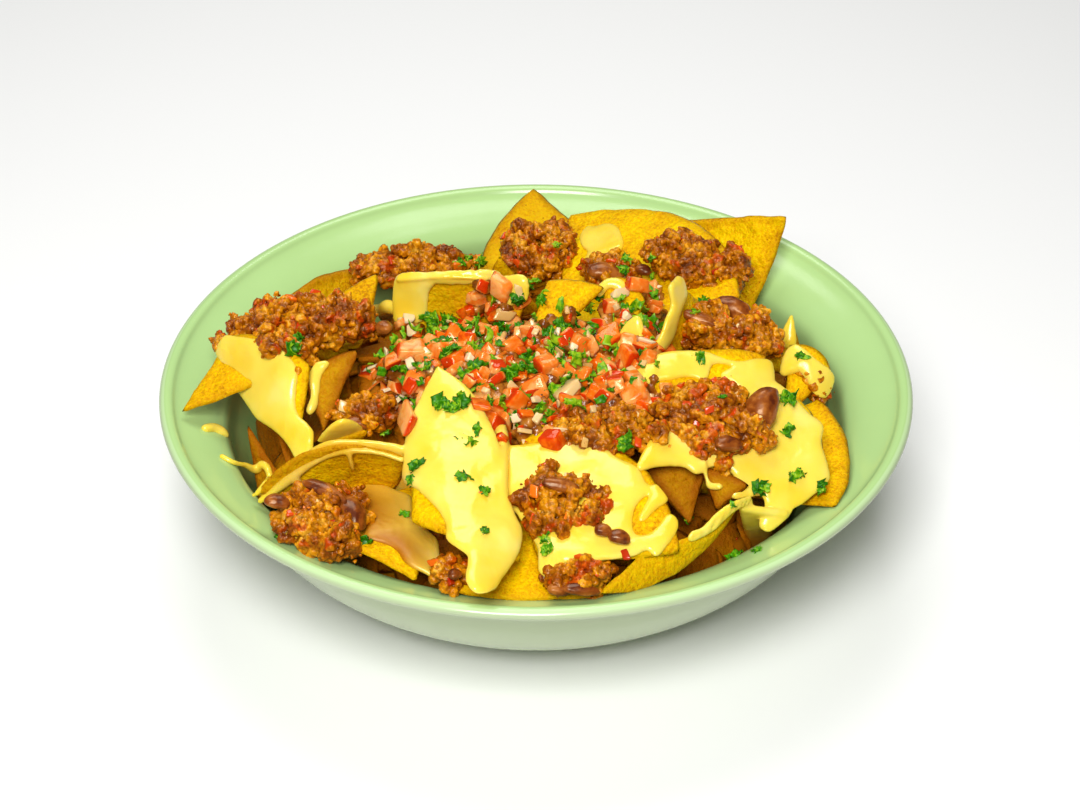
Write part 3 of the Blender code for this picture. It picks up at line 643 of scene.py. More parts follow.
# Runs and strings of sauce: x, y, height and radius along each.
RUNS = {
    "cheese_front": (
        ((-12, -52, 13, 2.6), (-11, -60, 14.5, 2.4), (-11, -72, 15, 2.4), (-11, -84, 12, 2.4),
         (-10, -92, 10, 2.2)),
        ((-90, -66, -6, 1.2), (-86, -66, -2.5, 1.5), (-81, -65.8, 1.8, 1.9), (-76.5, -65.4, 5.5, 1.6),
         (-72, -65.3, 8.8, 1.2), (-66, -65.3, 12, 1.1), (-60, -66, 14.2, 1.2), (-54, -66.5, 14.5, 1.1),
         (-48, -67.5, 13.8, 1.0), (-43, -68.5, 12.4, 1.1)),
        ((-78, -66, 3.5, 1.6), (-76.5, -66.3, 0, 1.4), (-75.5, -66.2, -4, 1.2)),
        ((-60, -66.5, 13, 1.1), (-59.5, -67, 10, 1.0), (-59, -67, 7.5, 0.9)),
    ),
    "cheese_right": (
        ((54, -67, 10, 1.2), (55, -69.5, 6, 0.9), (56, -71, 4, 1.3), (59, -72, 4.5, 1.4)),
    ),
    "cheese_left_and_back": (
        ((-105.5, -39, -8, 1.2), (-102, -40, -9.5, 1.1), (-98, -36, -14, 1.2), (-95, -33, -18, 1.7),
         (-93, -33.5, -15.5, 1.7), (-91, -35.5, -15.5, 1.5), (-90, -38, -18, 1.3), (-89, -50, -9, 1.1),
         (-88.5, -64, -1, 1.3), (-91, -66, -3, 1.1)),
        ((-112.5, -25, -6.6, 1.8), (-110, -22.5, -8.2, 2.0), (-107.5, -22, -10, 1.9),
         (-106, -22, -11.5, 1.3)),
        ((-48, 24, 22.4, 1.2), (-40.5, 21.8, 24.3, 1.0), (-33, 20.5, 25.8, 0.9), (-25.5, 19.5, 26, 0.8),
         (-17, 20, 25.2, 0.7)),
        ((-60, 58, -13, 2.6), (-57, 55, -10.5, 2.4), (-54, 50, -6, 2.8), (-51, 45, -4, 2.2)),
    ),
}
# A curtain of sauce that hangs from the right chip: its two side runs.
CURTAIN = (((66, -80, 2, 1.5), (68, -74, -8, 1.6), (70, -66, -20, 1.8), (68, -62, -28, 2.6)),
           ((80, -76, -3.5, 1.5), (78, -71, -10, 1.5), (76, -65, -20, 1.8), (74, -60, -28, 2.4)))
CHEESE_NODES = {
    "cheese_front": ["cheese_front", "cheese_front_left", "cheese_front_right"],
    "cheese_right": ["cheese_right", "cheese_right_middle"],
    "cheese_left_and_back": ["cheese_left", "cheese_back"],
}


def inside(places, outline):
    """True for the flat places inside a closed outline."""
    found = np.zeros(len(places), bool)
    for (x0, y0), (x1, y1) in zip(outline, np.roll(outline, -1, axis=0)):
        crosses = (y0 > places[:, 1]) != (y1 > places[:, 1])
        at = x0 + (places[:, 1] - y0) * (x1 - x0) / (y1 - y0 if y1 != y0 else 1e-9)
        found ^= crosses & (places[:, 0] < at)
    return found


def from_outline(places, outline):
    """How far the flat places are from an outline."""
    nearest = np.full(len(places), 1e9)
    for start, end in zip(outline, np.roll(outline, -1, axis=0)):
        run = end - start
        share = np.clip((places - start) @ run / (run @ run + 1e-12), 0, 1)
        nearest = np.minimum(nearest, np.linalg.norm(places - start - share[:, None] * run, axis=1))
    return nearest


def poured(chip, outline):
    """Drops that fill an outline on a chip: places and radii."""
    corners = shapes[chip][0]
    first, second = corners[1] - corners[0], corners[2] - corners[0]
    across = first / np.linalg.norm(first)
    along = second - across * second.dot(across)
    along /= np.linalg.norm(along)
    to_flat = np.array([[first @ across, first @ along], [second @ across, second @ along]])
    loop = np.array(outline, float) / 100 @ to_flat
    loop = smooth_line(np.vstack([loop, loop[:1]]), 4)[:-1]
    low, high = loop.min(axis=0), loop.max(axis=0)
    grid = np.stack(np.meshgrid(*[np.arange(low[k], high[k], POUR_STEP) for k in range(2)]), -1)
    grid = grid.reshape(-1, 2)
    grid = np.vstack([grid[inside(grid, loop)], smooth_line(np.vstack([loop, loop[:1]]), 2)])
    depth = from_outline(grid, loop)
    share = grid @ np.linalg.inv(to_flat)
    share = np.column_stack([1 - share.sum(axis=1), share])
    places, square = on_wedge(shapes[chip], share)
    full = np.clip(depth / POUR_BLEND, 0, 1)
    swell = wander(places, 9.0, 5.0)[:, 0]
    radius = POUR_EDGE + (POUR_DEPTH - POUR_EDGE) * np.sqrt(1 - (1 - full) ** 2) * (1 + 0.9 * swell)
    return np.column_stack([places + square * (CHIP_THICKNESS / 2 + 0.3 * radius)[:, None], radius])


# Drops to skin: the drops' balls are joined in a volume, and its skin is relaxed.
melt, inputs = node_tree("melted_drops", {"Voxel": "Float", "Relax": "Int", "Material": "Material"})
size = node(melt, "GeometryNodeInputNamedAttribute", {"Name": "radius"}, data_type="FLOAT")
cloud = node(melt, "GeometryNodePointsToVolume", {}, {
    "Points": inputs["Geometry"], "Radius": size.outputs["Attribute"], "Voxel Size": inputs["Voxel"]},
    resolution_mode="VOXEL_SIZE")
skin = node(melt, "GeometryNodeVolumeToMesh", {"Threshold": 0.2}, {"Volume": cloud.outputs["Volume"]})
where = node(melt, "GeometryNodeInputPosition")
eased = node(melt, "GeometryNodeBlurAttribute", {}, {"Value": where.outputs["Position"],
                                                     "Iterations": inputs["Relax"]},
             data_type="FLOAT_VECTOR")
moved = node(melt, "GeometryNodeSetPosition", {}, {"Geometry": skin.outputs["Mesh"],
                                                   "Position": eased.outputs["Value"]})
dressed_output(melt, moved.outputs["Geometry"], inputs["Material"])


def melted(drops, voxel, relax, look):
    """One skin round many drops, given as x, y, height and radius."""
    cloud_mesh = bpy.data.meshes.new("drops")
    cloud_mesh.from_pydata(metres(drops[:, :3]), [], [])
    sizes = cloud_mesh.attributes.new("radius", "FLOAT", "POINT")
    sizes.data.foreach_set("value", drops[:, 3] / 1000)
    return grown(cloud_mesh, melt, {"Voxel": voxel / 1000, "Relax": relax, "Material": look})


# Processed cheese sauce: an opaque strong yellow that light soaks a few millimetres into,
# with a wet, soft-edged shine that pales it wherever it faces the light.
sauce, tree, shader, place = new_material("warm_cheese_sauce", {"Specular IOR Level": 0.8,
    "Specular Tint": (1.0, 0.86, 0.5, 1.0), "Subsurface Weight": 0.35,
    "Subsurface Radius": (0.009, 0.0055, 0.0008), "Subsurface Scale": 0.5})
drift = node(tree, "ShaderNodeTexNoise", {"Scale": 60.0, "Detail": 2.0}, {"Vector": place})
yellow = node(tree, "ShaderNodeValToRGB", {}, {"Fac": drift.outputs["Fac"]}, stops=(
    (0.3, "F9CE34"), (0.55, "FBD850"), (0.75, "FDE06E"))).outputs["Color"]
# Painted shade: the sauce turns amber towards AC6800 under the front arch and in the right gap, and is
# rougher there.
thin = node(tree, "ShaderNodeAttribute", attribute_name="thin").outputs["Fac"]
spread = node(tree, "ShaderNodeMix", {"B": linear("AC6800")}, {"Factor": thin, "A": yellow},
              data_type="RGBA")
tree.links.new(spread.outputs["Result"], shader.inputs["Base Color"])
rougher_in_shade = node(tree, "ShaderNodeMapRange", {"To Min": 0.2, "To Max": 0.5}, {"Value": thin})
tree.links.new(rougher_in_shade.outputs[0], shader.inputs["Roughness"])
waves = node(tree, "ShaderNodeTexNoise", {"Scale": 85.0, "Detail": 2.0, "Distortion": 0.5},
             {"Vector": place})
flow = node(tree, "ShaderNodeBump", {"Strength": 0.35, "Distance": 0.002}, {"Height": waves.outputs["Fac"]})
tree.links.new(flow.outputs[0], shader.inputs["Normal"])

# Painted shade on the sauce, amber under the front arch, at the front left and in the gap at the right:
# centre and reach.
SAUCE_SHADE_SPOTS = (((-62, -80, -2), 30.0), ((-48, -96, -5), 20.0), ((70, -62, -26), 18.0))


def sauce_shaded(mesh):
    """Stores how much painted shade the sauce gets at each place, from 0 none to 1 full."""
    places = points_of(mesh)
    amount = np.zeros(len(places))
    for centre, reach in SAUCE_SHADE_SPOTS:
        away = np.linalg.norm(places - centre, axis=1) / reach
        amount = np.maximum(amount, np.clip(1.5 - 1.5 * away, 0, 1))
    return stored(mesh, "thin", amount)


for name, pours in POURS.items():
    drops = [poured(chip, outline) for chip, outline in pours]
    drops += [smooth_line(line, RUN_STEPS) for line in RUNS[name]]
    if name == "cheese_right":
        left, right = (smooth_line(line, RUN_STEPS) for line in CURTAIN)
        drops += [left + (right - left) * share for share in np.linspace(0, 1, CURTAIN_LINES)]
    skin_mesh = melted(np.vstack(drops), POUR_VOXEL, 6, sauce)
    piece(name + "_sauce", sauce_shaded(skin_mesh), sauce, CHEESE_NODES[name])

# ---------------------------------------------------------------------------------------
# Chili: minced beef, beans and peppers stewed in a thick red-brown sauce and spooned over
# the heap. Lumps of mince are packed under the skin of each ragged spoonful, every lump is
# a ball of grains stuck together, and the sauce joins them all.
GRAIN_SPACING = 1.8
SMALL_GRAINS = 2.6
GRAIN_RADII = (0.5, 2.1)
CHILI_VOXEL = 0.5
LUMP_RADII = (1.9, 4.3)
LUMP_TRIES = 1200
LUMP_GAP = 0.6
CLEAR_OF_BOWL = 1.6
RAGGED_SCALE = 9.0
RAGGED_LEAST = -0.35
# The grains' sizes lean to the small end; spoonfuls thin out where slow noise is low.
# The servings, the spoonfuls in each, and how much of its place each spoonful fills.
SERVINGS = {
    "chili_at_the_back": {"chili_back_left": 0.95, "chili_back": 0.9, "chili_back_right": 0.9,
                          "chili_back_middle": 0.95},
    "chili_at_the_right": {"chili_right": 0.95, "chili_middle": 0.9, "chili_right_bit": 0.7,
                           "chili_right_back": 0.95},
    "chili_at_the_left": {"chili_left": 0.95, "chili_left_lobe": 1.12, "chili_left_inner": 0.85},
    "chili_at_the_front": {"chili_front_left": 0.9, "chili_front_low": 0.9, "chili_front": 0.84,
                           "chili_front_wall": 0.9},
}


def heaped(spoonfuls, rng):
    """Lumps of mince packed under the skin of ragged spoonfuls: their places and radii."""
    lumps = []
    for name, filled in spoonfuls.items():
        skin = bmesh.new()
        skin.from_mesh(frame["nodes"][name].data)
        bmesh.ops.triangulate(skin, faces=skin.faces)
        faces = [face for face in skin.faces if face.normal.z > -0.45]
        sizes = np.array([face.calc_area() for face in faces])
        middle = np.mean([vertex.co for vertex in skin.verts], axis=0)
        taken = []
        for pick in rng.choice(len(faces), LUMP_TRIES, p=sizes / sizes.sum()):
            share = rng.dirichlet((1, 1, 1))
            spot = sum(np.array(v.co) * w for v, w in zip(faces[pick].verts, share))
            spot = 1000 * (middle + (spot - middle) * filled) - (0, 0, RIM_HEIGHT)
            ragged = wander(spot[None], RAGGED_SCALE, 4.0)[0, 0]
            full = np.clip(rng.random() * 0.6 + 0.4 + ragged, 0, 1)
            r = LUMP_RADII[0] + (LUMP_RADII[1] - LUMP_RADII[0]) * full
            spot -= np.array(faces[pick].normal) * r * rng.uniform(0.6, 1.2)
            most = np.interp(spot[2], wall[2:, 1], wall[2:, 0]) - CLEAR_OF_BOWL * r
            spot[:2] *= min(1, most / np.linalg.norm(spot[:2]))
            apart = all(np.linalg.norm(spot - other[:3]) > LUMP_GAP * (r + other[3]) for other in taken)
            if apart and ragged > RAGGED_LEAST:
                taken.append(np.append(spot, r))
        skin.free()
        lumps += taken
    return np.array(lumps)


def crumbled(lumps, rng):
    """Drops for lumps of mince: a long heart and low grains over every face that shows."""
    drops = []
    for number, (x, y, z, r) in enumerate(lumps):
        axes, _ = np.linalg.qr(rng.normal(size=(3, 3)))
        stretch = np.array((1.25, 1.0, 0.82)) * rng.uniform(0.88, 1.12, 3)
        heart = axes[0] * r * np.array([[-0.42], [0.0], [0.42]])
        drops.append(np.column_stack([heart + (x, y, z), np.full(3, r * 0.72)]))
        count = int(4 * math.pi * r * r / GRAIN_SPACING ** 2)
        k = np.arange(count) + 0.5
        polar, spin = np.arccos(1 - 2 * k / count), k * math.pi * (3 - math.sqrt(5)) + number
        ways = np.column_stack([np.cos(spin) * np.sin(polar), np.sin(spin) * np.sin(polar),
                                np.cos(polar)]) + rng.normal(0, 0.14, (count, 3))
        reach = r - 0.75 + r * 0.5 * wander(ways * 8, 5.0, number * 2.3)[:, 0]
        grains = (ways * stretch * reach[:, None]) @ axes + (x, y, z)
        near = lumps[np.linalg.norm(lumps[:, :3] - (x, y, z), axis=1) < r + lumps[:, 3]]
        near = near[np.linalg.norm(near[:, :3] - (x, y, z), axis=1) > 0.01]
        if len(near):
            deep = np.linalg.norm(grains[:, None] - near[None, :, :3], axis=2) < near[:, 3] - 2.0
            grains = grains[~deep.any(axis=1)]
        spread = GRAIN_RADII[0] + (GRAIN_RADII[1] - GRAIN_RADII[0]) * rng.random(len(grains)) ** SMALL_GRAINS
        drops.append(np.column_stack([grains, spread]))
    return np.vstack(drops)


# Relief: how far each point of a skin stands above its surroundings, which the chili's colour reads for
# painted shade in its creases.
carve, inputs = node_tree("relief", {"Reach": "Int", "Crumb": "Float", "Material": "Material"})
where = node(carve, "GeometryNodeInputPosition")
facing = node(carve, "GeometryNodeInputNormal")
crumb = node(carve, "ShaderNodeTexNoise", {"Scale": 640.0, "Detail": 2.0, "Roughness": 0.65},
             {"Vector": where.outputs["Position"]})
height = node(carve, "ShaderNodeMath", {1: 0.5}, {0: crumb.outputs["Fac"]}, operation="SUBTRACT")
deep = node(carve, "ShaderNodeMath", {}, {0: height.outputs[0], 1: inputs["Crumb"]},
            operation="MULTIPLY")
push = node(carve, "ShaderNodeVectorMath", {}, {0: facing.outputs["Normal"], "Scale": deep.outputs[0]},
            operation="SCALE")
rough = node(carve, "GeometryNodeSetPosition", {}, {"Geometry": inputs["Geometry"],
                                                    "Offset": push.outputs["Vector"]})
eased = node(carve, "GeometryNodeBlurAttribute", {}, {"Value": where.outputs["Position"],
                                                      "Iterations": inputs["Reach"]},
             data_type="FLOAT_VECTOR")
apart = node(carve, "ShaderNodeVectorMath", {}, {0: where.outputs["Position"],
                                                 1: eased.outputs["Value"]}, operation="SUBTRACT")
above = node(carve, "ShaderNodeVectorMath", {}, {0: apart.outputs["Vector"],
                                                 1: facing.outputs["Normal"]}, operation="DOT_PRODUCT")
kept = node(carve, "GeometryNodeStoreNamedAttribute", {"Name": "relief"}, {
    "Geometry": rough.outputs["Geometry"], "Value": above.outputs["Value"]},
    data_type="FLOAT", domain="POINT")
dressed_output(carve, kept.outputs["Geometry"], inputs["Material"])

# Stewed mince: golden orange through red to dark brown within a few millimetres, with
# paler and darker grains, orange fat shining over all of it and painted shade in the creases.
mince, tree, shader, place = new_material("stewed_minced_beef", {"Roughness": 0.2,
    "Specular IOR Level": 0.4, "Specular Tint": (1.0, 0.78, 0.5, 1.0), "Subsurface Weight": 0.08,
    "Subsurface Radius": (0.003, 0.001, 0.0002)})
lump = node(tree, "ShaderNodeTexNoise", {"Scale": 125.0, "Detail": 2.0, "Roughness": 0.5},
            {"Vector": place})
grains = node(tree, "ShaderNodeTexNoise", {"Scale": 620.0, "Detail": 3.0, "Roughness": 0.6},
              {"Vector": place})
tone = node(tree, "ShaderNodeMath", {1: 0.55}, {0: grains.outputs["Fac"], 2: lump.outputs["Fac"]},
            operation="MULTIPLY_ADD")
meat = node(tree, "ShaderNodeValToRGB", {}, {"Fac": tone.outputs[0]}, stops=(
    (0.5, "6A2C08"), (0.66, "9C4E04"), (0.78, "C47204"), (0.88, "E09008"),
    (1.0, "F0AC2C"))).outputs["Color"]
patch = node(tree, "ShaderNodeTexNoise", {"Scale": 160.0, "Detail": 1.0, "Distortion": 0.6},
             {"Vector": place})
red = node(tree, "ShaderNodeMapRange", {"From Min": 0.6, "From Max": 0.68, "To Max": 0.8},
           {"Value": patch.outputs["Fac"]})
ruddy = node(tree, "ShaderNodeMix", {"B": linear("C84004")}, {"Factor": red.outputs[0], "A": meat},
             data_type="RGBA")
high = node(tree, "ShaderNodeAttribute", attribute_name="relief")
# Painted shade: the creases are darkened towards 431704.
crease_shade = node(tree, "ShaderNodeMapRange", {"From Min": -0.0006, "From Max": 0.00035},
              {"Value": high.outputs["Fac"]})
crease_shaded = node(tree, "ShaderNodeMix", {"A": linear("431704")}, {
    "Factor": crease_shade.outputs[0], "B": ruddy.outputs["Result"]}, data_type="RGBA")
tree.links.new(crease_shaded.outputs["Result"], shader.inputs["Base Color"])
bumpy = node(tree, "ShaderNodeBump", {"Strength": 0.7, "Distance": 0.0008},
             {"Height": grains.outputs["Fac"]})
tree.links.new(bumpy.outputs[0], shader.inputs["Normal"])

chili_pieces = {}
for number, (name, spoonfuls) in enumerate(SERVINGS.items()):
    rng = np.random.default_rng(40 + number)
    crumbly = melted(crumbled(heaped(spoonfuls, rng), rng), CHILI_VOXEL, 1, mince)
    crumbly = grown(crumbly, carve, {"Reach": 8, "Crumb": 0.0024, "Material": mince})
    chili_pieces[name] = piece(name, crumbly, mince, spoonfuls)

# Kidney beans: cooked whole beans with a smooth, thin, slightly wrinkled brown skin.
BEANS = {
    "bean_right": ((74.5, -47, 17), (8.0, 5.6, 5.2), (0, -40, 63)),
    "bean_back": ((68, 11, 18), (7.5, 4.6, 4.2), (0, 8, -25)),
    "bean_front_left": ((-60, -85, 3), (8.0, 5.0, 4.5), (10, 10, -50)),
}


def bean_mesh(centre, size, turn, seed):
    """A kidney bean: an egg bent round its eye."""
    shape = bmesh.new()
    bmesh.ops.create_icosphere(shape, subdivisions=4, radius=1.0)
    turned_by = Euler([math.radians(a) for a in turn]).to_matrix()
    for vertex in shape.verts:
        x, y, z = vertex.co
        wrinkle = 1 + 0.07 * noise.noise(vertex.co * 2.6 + Vector((seed, 0, 0)))
        y = y * (1 - 0.12 * x) - 0.28 * x * x + 0.16
        place = Vector((x * size[0], y * size[1], z * size[2])) * wrinkle
        vertex.co = Vector(metres([turned_by @ place + Vector(centre)])[0])
    return as_mesh("bean", shape)


bean, tree, shader, place = new_material("cooked_kidney_bean_skin", {"Roughness": 0.3,
    "Specular Tint": (1.0, 0.8, 0.55, 1.0)})
skin = node(tree, "ShaderNodeTexNoise", {"Scale": 150.0, "Detail": 4.0, "Roughness": 0.6},
            {"Vector": place})
skin_brown = node(tree, "ShaderNodeValToRGB", {}, {"Fac": skin.outputs["Fac"]}, stops=(
    (0.35, "56200A"), (0.48, "84400E"), (0.6, "A86020"), (0.75, "C88838")))
tree.links.new(skin_brown.outputs["Color"], shader.inputs["Base Color"])
creased = node(tree, "ShaderNodeBump", {"Strength": 0.35, "Distance": 0.001},
               {"Height": skin.outputs["Fac"]})
tree.links.new(creased.outputs[0], shader.inputs["Normal"])
for number, (name, sizes) in enumerate(BEANS.items()):
    piece("kidney_" + name, bean_mesh(*sizes, number * 5.0), bean, [name])


def joined(meshes, shades):
    """One mesh from many, with a shade of its own for each."""
    places, faces, marks, rinds, count = [], [], [], [], 0
    for mesh, shade in zip(meshes, shades):
        rind = mesh.attributes.get("rind")
        rinds += [each.value for each in rind.data] if rind else [0.0] * len(mesh.vertices)
        places += [tuple(vertex.co) for vertex in mesh.vertices]
        faces += [[count + corner for corner in face.vertices] for face in mesh.polygons]
        marks += [shade] * len(mesh.vertices)
        count = len(places)
    whole = bpy.data.meshes.new("joined")
    whole.from_pydata(places, [], faces)
    return stored(stored(whole, "shade", marks), "rind", rinds)


# Beans part buried in the chili: x, y, height, length, width and turn.
MORE_BEANS = (
    (-87, -12, 20, 7.1, 4.5, 0), (-58, -40, 7, 10.5, 5.1, 0), (-52, 4, 16, 5.8, 6.1, 80),
    (62, -64, 16, 9.5, 6.4, 10), (-82, -84, 8, 8.4, 5.6, 0), (-67, -81, 10, 16.1, 5.3, -25),
    (8, -86, 16, 12.6, 5.2, -5), (3, -84, 10, 4.7, 4.2, 30), (26, -102, 8, 7.2, 5.5, -10),
    (21, -100, 9, 5.9, 4.8, 0), (7, -118, 0, 7.1, 4.8, 0), (14, -118, 0, 11.7, 4.7, 5),
    (25, 51, 9, 12.9, 8, 0), (39, 52, 9, 6.1, 4.8, -20), (46, 71, 6, 10.1, 3.7, -30),
    (-10, 75, -2, 5.5, 4.9, 90), (-25, -113, 2, 4.6, 4.1, 30), (-22, -86, -17, 4.1, 3.6, 0),
    (56, 2, 21, 14.4, 5.3, -20),
)
half_buried = [
    bean_mesh((x, y, z - 0.1 * width), (length / 2, width / 2, width * 0.38), (0, 12, turn), 30.0 + k)
    for k, (x, y, z, length, width, turn) in enumerate(MORE_BEANS)]
piece("beans_in_the_chili", joined(half_buried, [0.5] * len(half_buried)), bean)


def block_mesh(size, bevel, seed):
    """One cut block: a box with slanted, uneven faces and softened edges."""
    rng = np.random.default_rng(seed)
    shape = bmesh.new()
    bmesh.ops.create_cube(shape, size=1.0)
    bmesh.ops.bevel(shape, geom=shape.edges[:], offset=bevel, segments=3, affect="EDGES", profile=0.5)
    skew = np.eye(3) + rng.normal(0, 0.11, (3, 3))
    taper = rng.normal(0, 0.2)
    rind = [vertex.co.x for vertex in shape.verts]
    for vertex in shape.verts:
        place = np.array(vertex.co) * (1 + taper * vertex.co.z)
        uneven = 1 + 0.3 * noise.noise(vertex.co * 1.9 + Vector((seed * 3.0, 0, 0)))
        vertex.co = Vector((skew @ place) * uneven * size / 1000)
    mesh = as_mesh("block", shape)
    mesh.shade_smooth()
    return stored(mesh, "rind", rind)


def surfaces_of(*names):
    """One tree of the skins of the pieces whose names start so, to lay things on."""
    places, faces = [], []
    for each in bpy.context.scene.objects:
        if each.name.startswith(names):
            mesh = each.data
            mesh.calc_loop_triangles()
            corners = np.empty(len(mesh.loop_triangles) * 3, int)
            mesh.loop_triangles.foreach_get("vertices", corners)
            faces.append(corners.reshape(-1, 3) + sum(len(p) for p in places))
            places.append(points_of(mesh))
    return BVHTree.FromPolygons(metres(np.vstack(places)).tolist(), np.vstack(faces).tolist())


def laid_on(ground, rows, shapes_used, seed, tilt, sink=0.0):
    """Bits laid one by one: x, y, height and size, each turned to face off what it lies on."""
    rng = np.random.default_rng(seed)
    bits = []
    for x, y, z, size in rows:
        spot, square, _, _ = ground.find_nearest(Vector(metres((x, y, z))))
        turn = square.to_track_quat("Z", "Y") @ Euler(
            (rng.normal(0, tilt), rng.normal(0, tilt), rng.uniform(0, 6.3))).to_quaternion()
        bit = shapes_used[rng.integers(len(shapes_used))].copy()
        for vertex in bit.vertices:
            vertex.co = turn @ (vertex.co * size - Vector((0, 0, sink * size / 1000))) + spot
        bits.append(bit)
    return joined(bits, rng.uniform(0, 1, len(bits)))


# Peppers and onion stewed in the chili: small soft red and orange squares about 3 mm
# across, glossy with sauce, and a few pale slips of onion and maize.
STRAY_PEPPERS = ((-37, -76, 15, 3), (2, -73, 16, 3), (54, -59, -21, 3), (28, -107, 4, 3), (-17, -88, 16, 3),
                 (13, 73, 2, 3), (-26, -113, -1, 3))


def shaded_look(name, stops, values):
    """A material for small bits, each with a shade of its own along a row of colours."""
    made, tree, shader, _ = new_material(name, values)
    each = node(tree, "ShaderNodeAttribute", attribute_name="shade").outputs["Fac"]
    row = node(tree, "ShaderNodeValToRGB", {}, {"Fac": each}, stops=stops)
    tree.links.new(row.outputs["Color"], shader.inputs["Base Color"])
    return made


pepper = shaded_look("stewed_red_pepper", ((0.0, "B02404"), (0.5, "D04406"), (1.0, "E87810")), {
    "Roughness": 0.2, "Subsurface Weight": 0.2, "Subsurface Radius": (0.004, 0.001, 0.0003)})
unit_blocks = [block_mesh(size, 0.2, 60 + k) for k, size in enumerate(
    ((0.9, 0.6, 0.4), (0.8, 0.8, 0.45), (1.2, 0.5, 0.4), (0.9, 0.6, 0.6), (0.7, 0.7, 0.3)))]
stray_ground = surfaces_of("chili_at", "cheese_front_sauce", "cheese_right_sauce",
                           "tortilla_front_left")
piece("stray_peppers", laid_on(stray_ground, STRAY_PEPPERS, unit_blocks, 1, 0.5, 0.22), pepper)
pepper_bits = variants("pepper", unit_blocks)
pale = shaded_look("stewed_onion_and_maize", ((0.0, "D8A858"), (1.0, "EBC98A")), {
    "Roughness": 0.25, "Subsurface Weight": 0.3, "Subsurface Radius": (0.004, 0.003, 0.001)})
for number, (name, chili) in enumerate(chili_pieces.items()):
    for kind, look, spacing, share in (("peppers", pepper, 4.5, 0.5), ("onion", pale, 7.0, 0.3)):
        bits = scattered(chili.data, pepper_bits, look, spacing, 30 + number, (2.4, 3.6), 0.6, -0.4,
                         share=share)
        piece(f"{kind}_in_{name}", bits, look)

# ---------------------------------------------------------------------------------------
# Salsa: raw tomato cut into 7 to 8 mm dice, with chopped onion and green chilli, spooned
# in the middle and still wet. The bits lie over a low mound of their own juice and pulp,
# which also clings to the chips round it.
MOUNDS = (
    ((-3, -20, 5), (43, 34, 17)), ((-36, -8, 6), (18, 16, 10)), ((30, -2, 8), (18, 18, 12)),
    ((28, -34, 10), (20, 14, 10)),
)
CLINGING = (
    (-18, 20, 24), (-19, 20, 16), (-15, 20, 12), (-42, 21, 4), (-29, 20, 5), (-21, 20, 5),
    (-36, 20, 1), (-9, 10, 20), (3, 0, 20), (12, 2, 21), (26, 11, 18), (32, 8, 16), (25, 5, 13),
    (37, 34, 0), (44, 35, 3), (42, 41, 4), (40, 47, 4), (45, 32, -2), (34, -12, 19), (39, -16, 18),
    (36, -26, 20), (36, -32, 19), (-5, -59, 13), (8, -59, 15), (6, -54, 16), (-1, -55, 16),
    (-53, -1, -2), (-51, -10, 0), (-48, -15, 0), (-44, -25, 0),
)
rng = np.random.default_rng(7)
mound_drops = []
for centre, size in MOUNDS:
    fill = rng.uniform(-1, 1, (int(np.prod(size) / 10), 3))
    fill = fill[np.linalg.norm(fill, axis=1) < 1] * (np.array(size) - 3)
    fill = fill[fill[:, 2] > -0.3 * size[2]]
    mound_drops.append(np.column_stack([fill + centre, rng.uniform(1.4, 3.8, len(fill))]))
for x, y, z in CLINGING:
    clump = rng.normal(0, 1.6, (6, 3)) + (x, y, z - 1.5)
    mound_drops.append(np.column_stack([clump, rng.uniform(1.8, 3, 6)]))

# Salsa juice and pulp: a wet orange mash between the dice.
pulp, tree, shader, place = new_material("tomato_pulp_and_juice", {"Roughness": 0.2})
mash = node(tree, "ShaderNodeTexNoise", {"Scale": 230.0, "Detail": 4.0}, {"Vector": place})
mashed = node(tree, "ShaderNodeValToRGB", {}, {"Fac": mash.outputs["Fac"]}, stops=(
    (0.3, "441E04"), (0.45, "7E4008"), (0.58, "AC6A1C"), (0.72, "D89848")))
tree.links.new(mashed.outputs["Color"], shader.inputs["Base Color"])
lumpy = node(tree, "ShaderNodeBump", {"Strength": 0.8, "Distance": 0.0012},
             {"Height": mash.outputs["Fac"]})
tree.links.new(lumpy.outputs[0], shader.inputs["Normal"])
mound_mesh = melted(np.vstack(mound_drops), 0.8, 2, pulp)
mound_mesh = grown(mound_mesh, carve, {"Reach": 4, "Crumb": 0.0022, "Material": pulp})
piece("salsa_pulp", mound_mesh, pulp, ["salsa"])

# Tomato: firm flesh from orange to red, wet and slightly see-through. The big dice are
# strewn over the mound and a few have slid off it, with smaller bits between.
SLID_TOMATO = (
    (-18, 16, 25, 6.1), (-12, 13, 26, 6.1), (-23, 21, 11, 5.4), (-11, 8, 17, 6.1), (-27, 18, 6, 5.4),
    (-40, -57, 20, 6.4), (35, 18, 24, 6.9), (43, 32, 4, 7.1), (42, 44, 4, 5.2), (33, -33, 20, 5.8),
    (34, -37, 16, 8.7), (37, -44, 15, 5.8), (25, -5, 18, 8.3), (33, -13, 14, 8.2), (-14, -52, 15, 5.7),
    (-18, -56, 24, 4.3), (4, -58, 16, 4.3), (-11, -63, 17, 3.5),
)
tomato, tree, shader, place = new_material("fresh_diced_tomato", {"Roughness": 0.14,
    "Specular IOR Level": 0.5, "Specular Tint": (1.0, 0.8, 0.55, 1.0), "Subsurface Weight": 0.5,
    "Subsurface Radius": (0.008, 0.003, 0.0008), "Subsurface Scale": 0.5})
each = node(tree, "ShaderNodeAttribute", attribute_name="shade").outputs["Fac"]
flesh = node(tree, "ShaderNodeTexNoise", {"Scale": 240.0, "Detail": 3.0, "Distortion": 0.8},
             {"Vector": place})
ripe = node(tree, "ShaderNodeMath", {1: 0.42}, {0: each, 2: flesh.outputs["Fac"]}, operation="MULTIPLY_ADD")
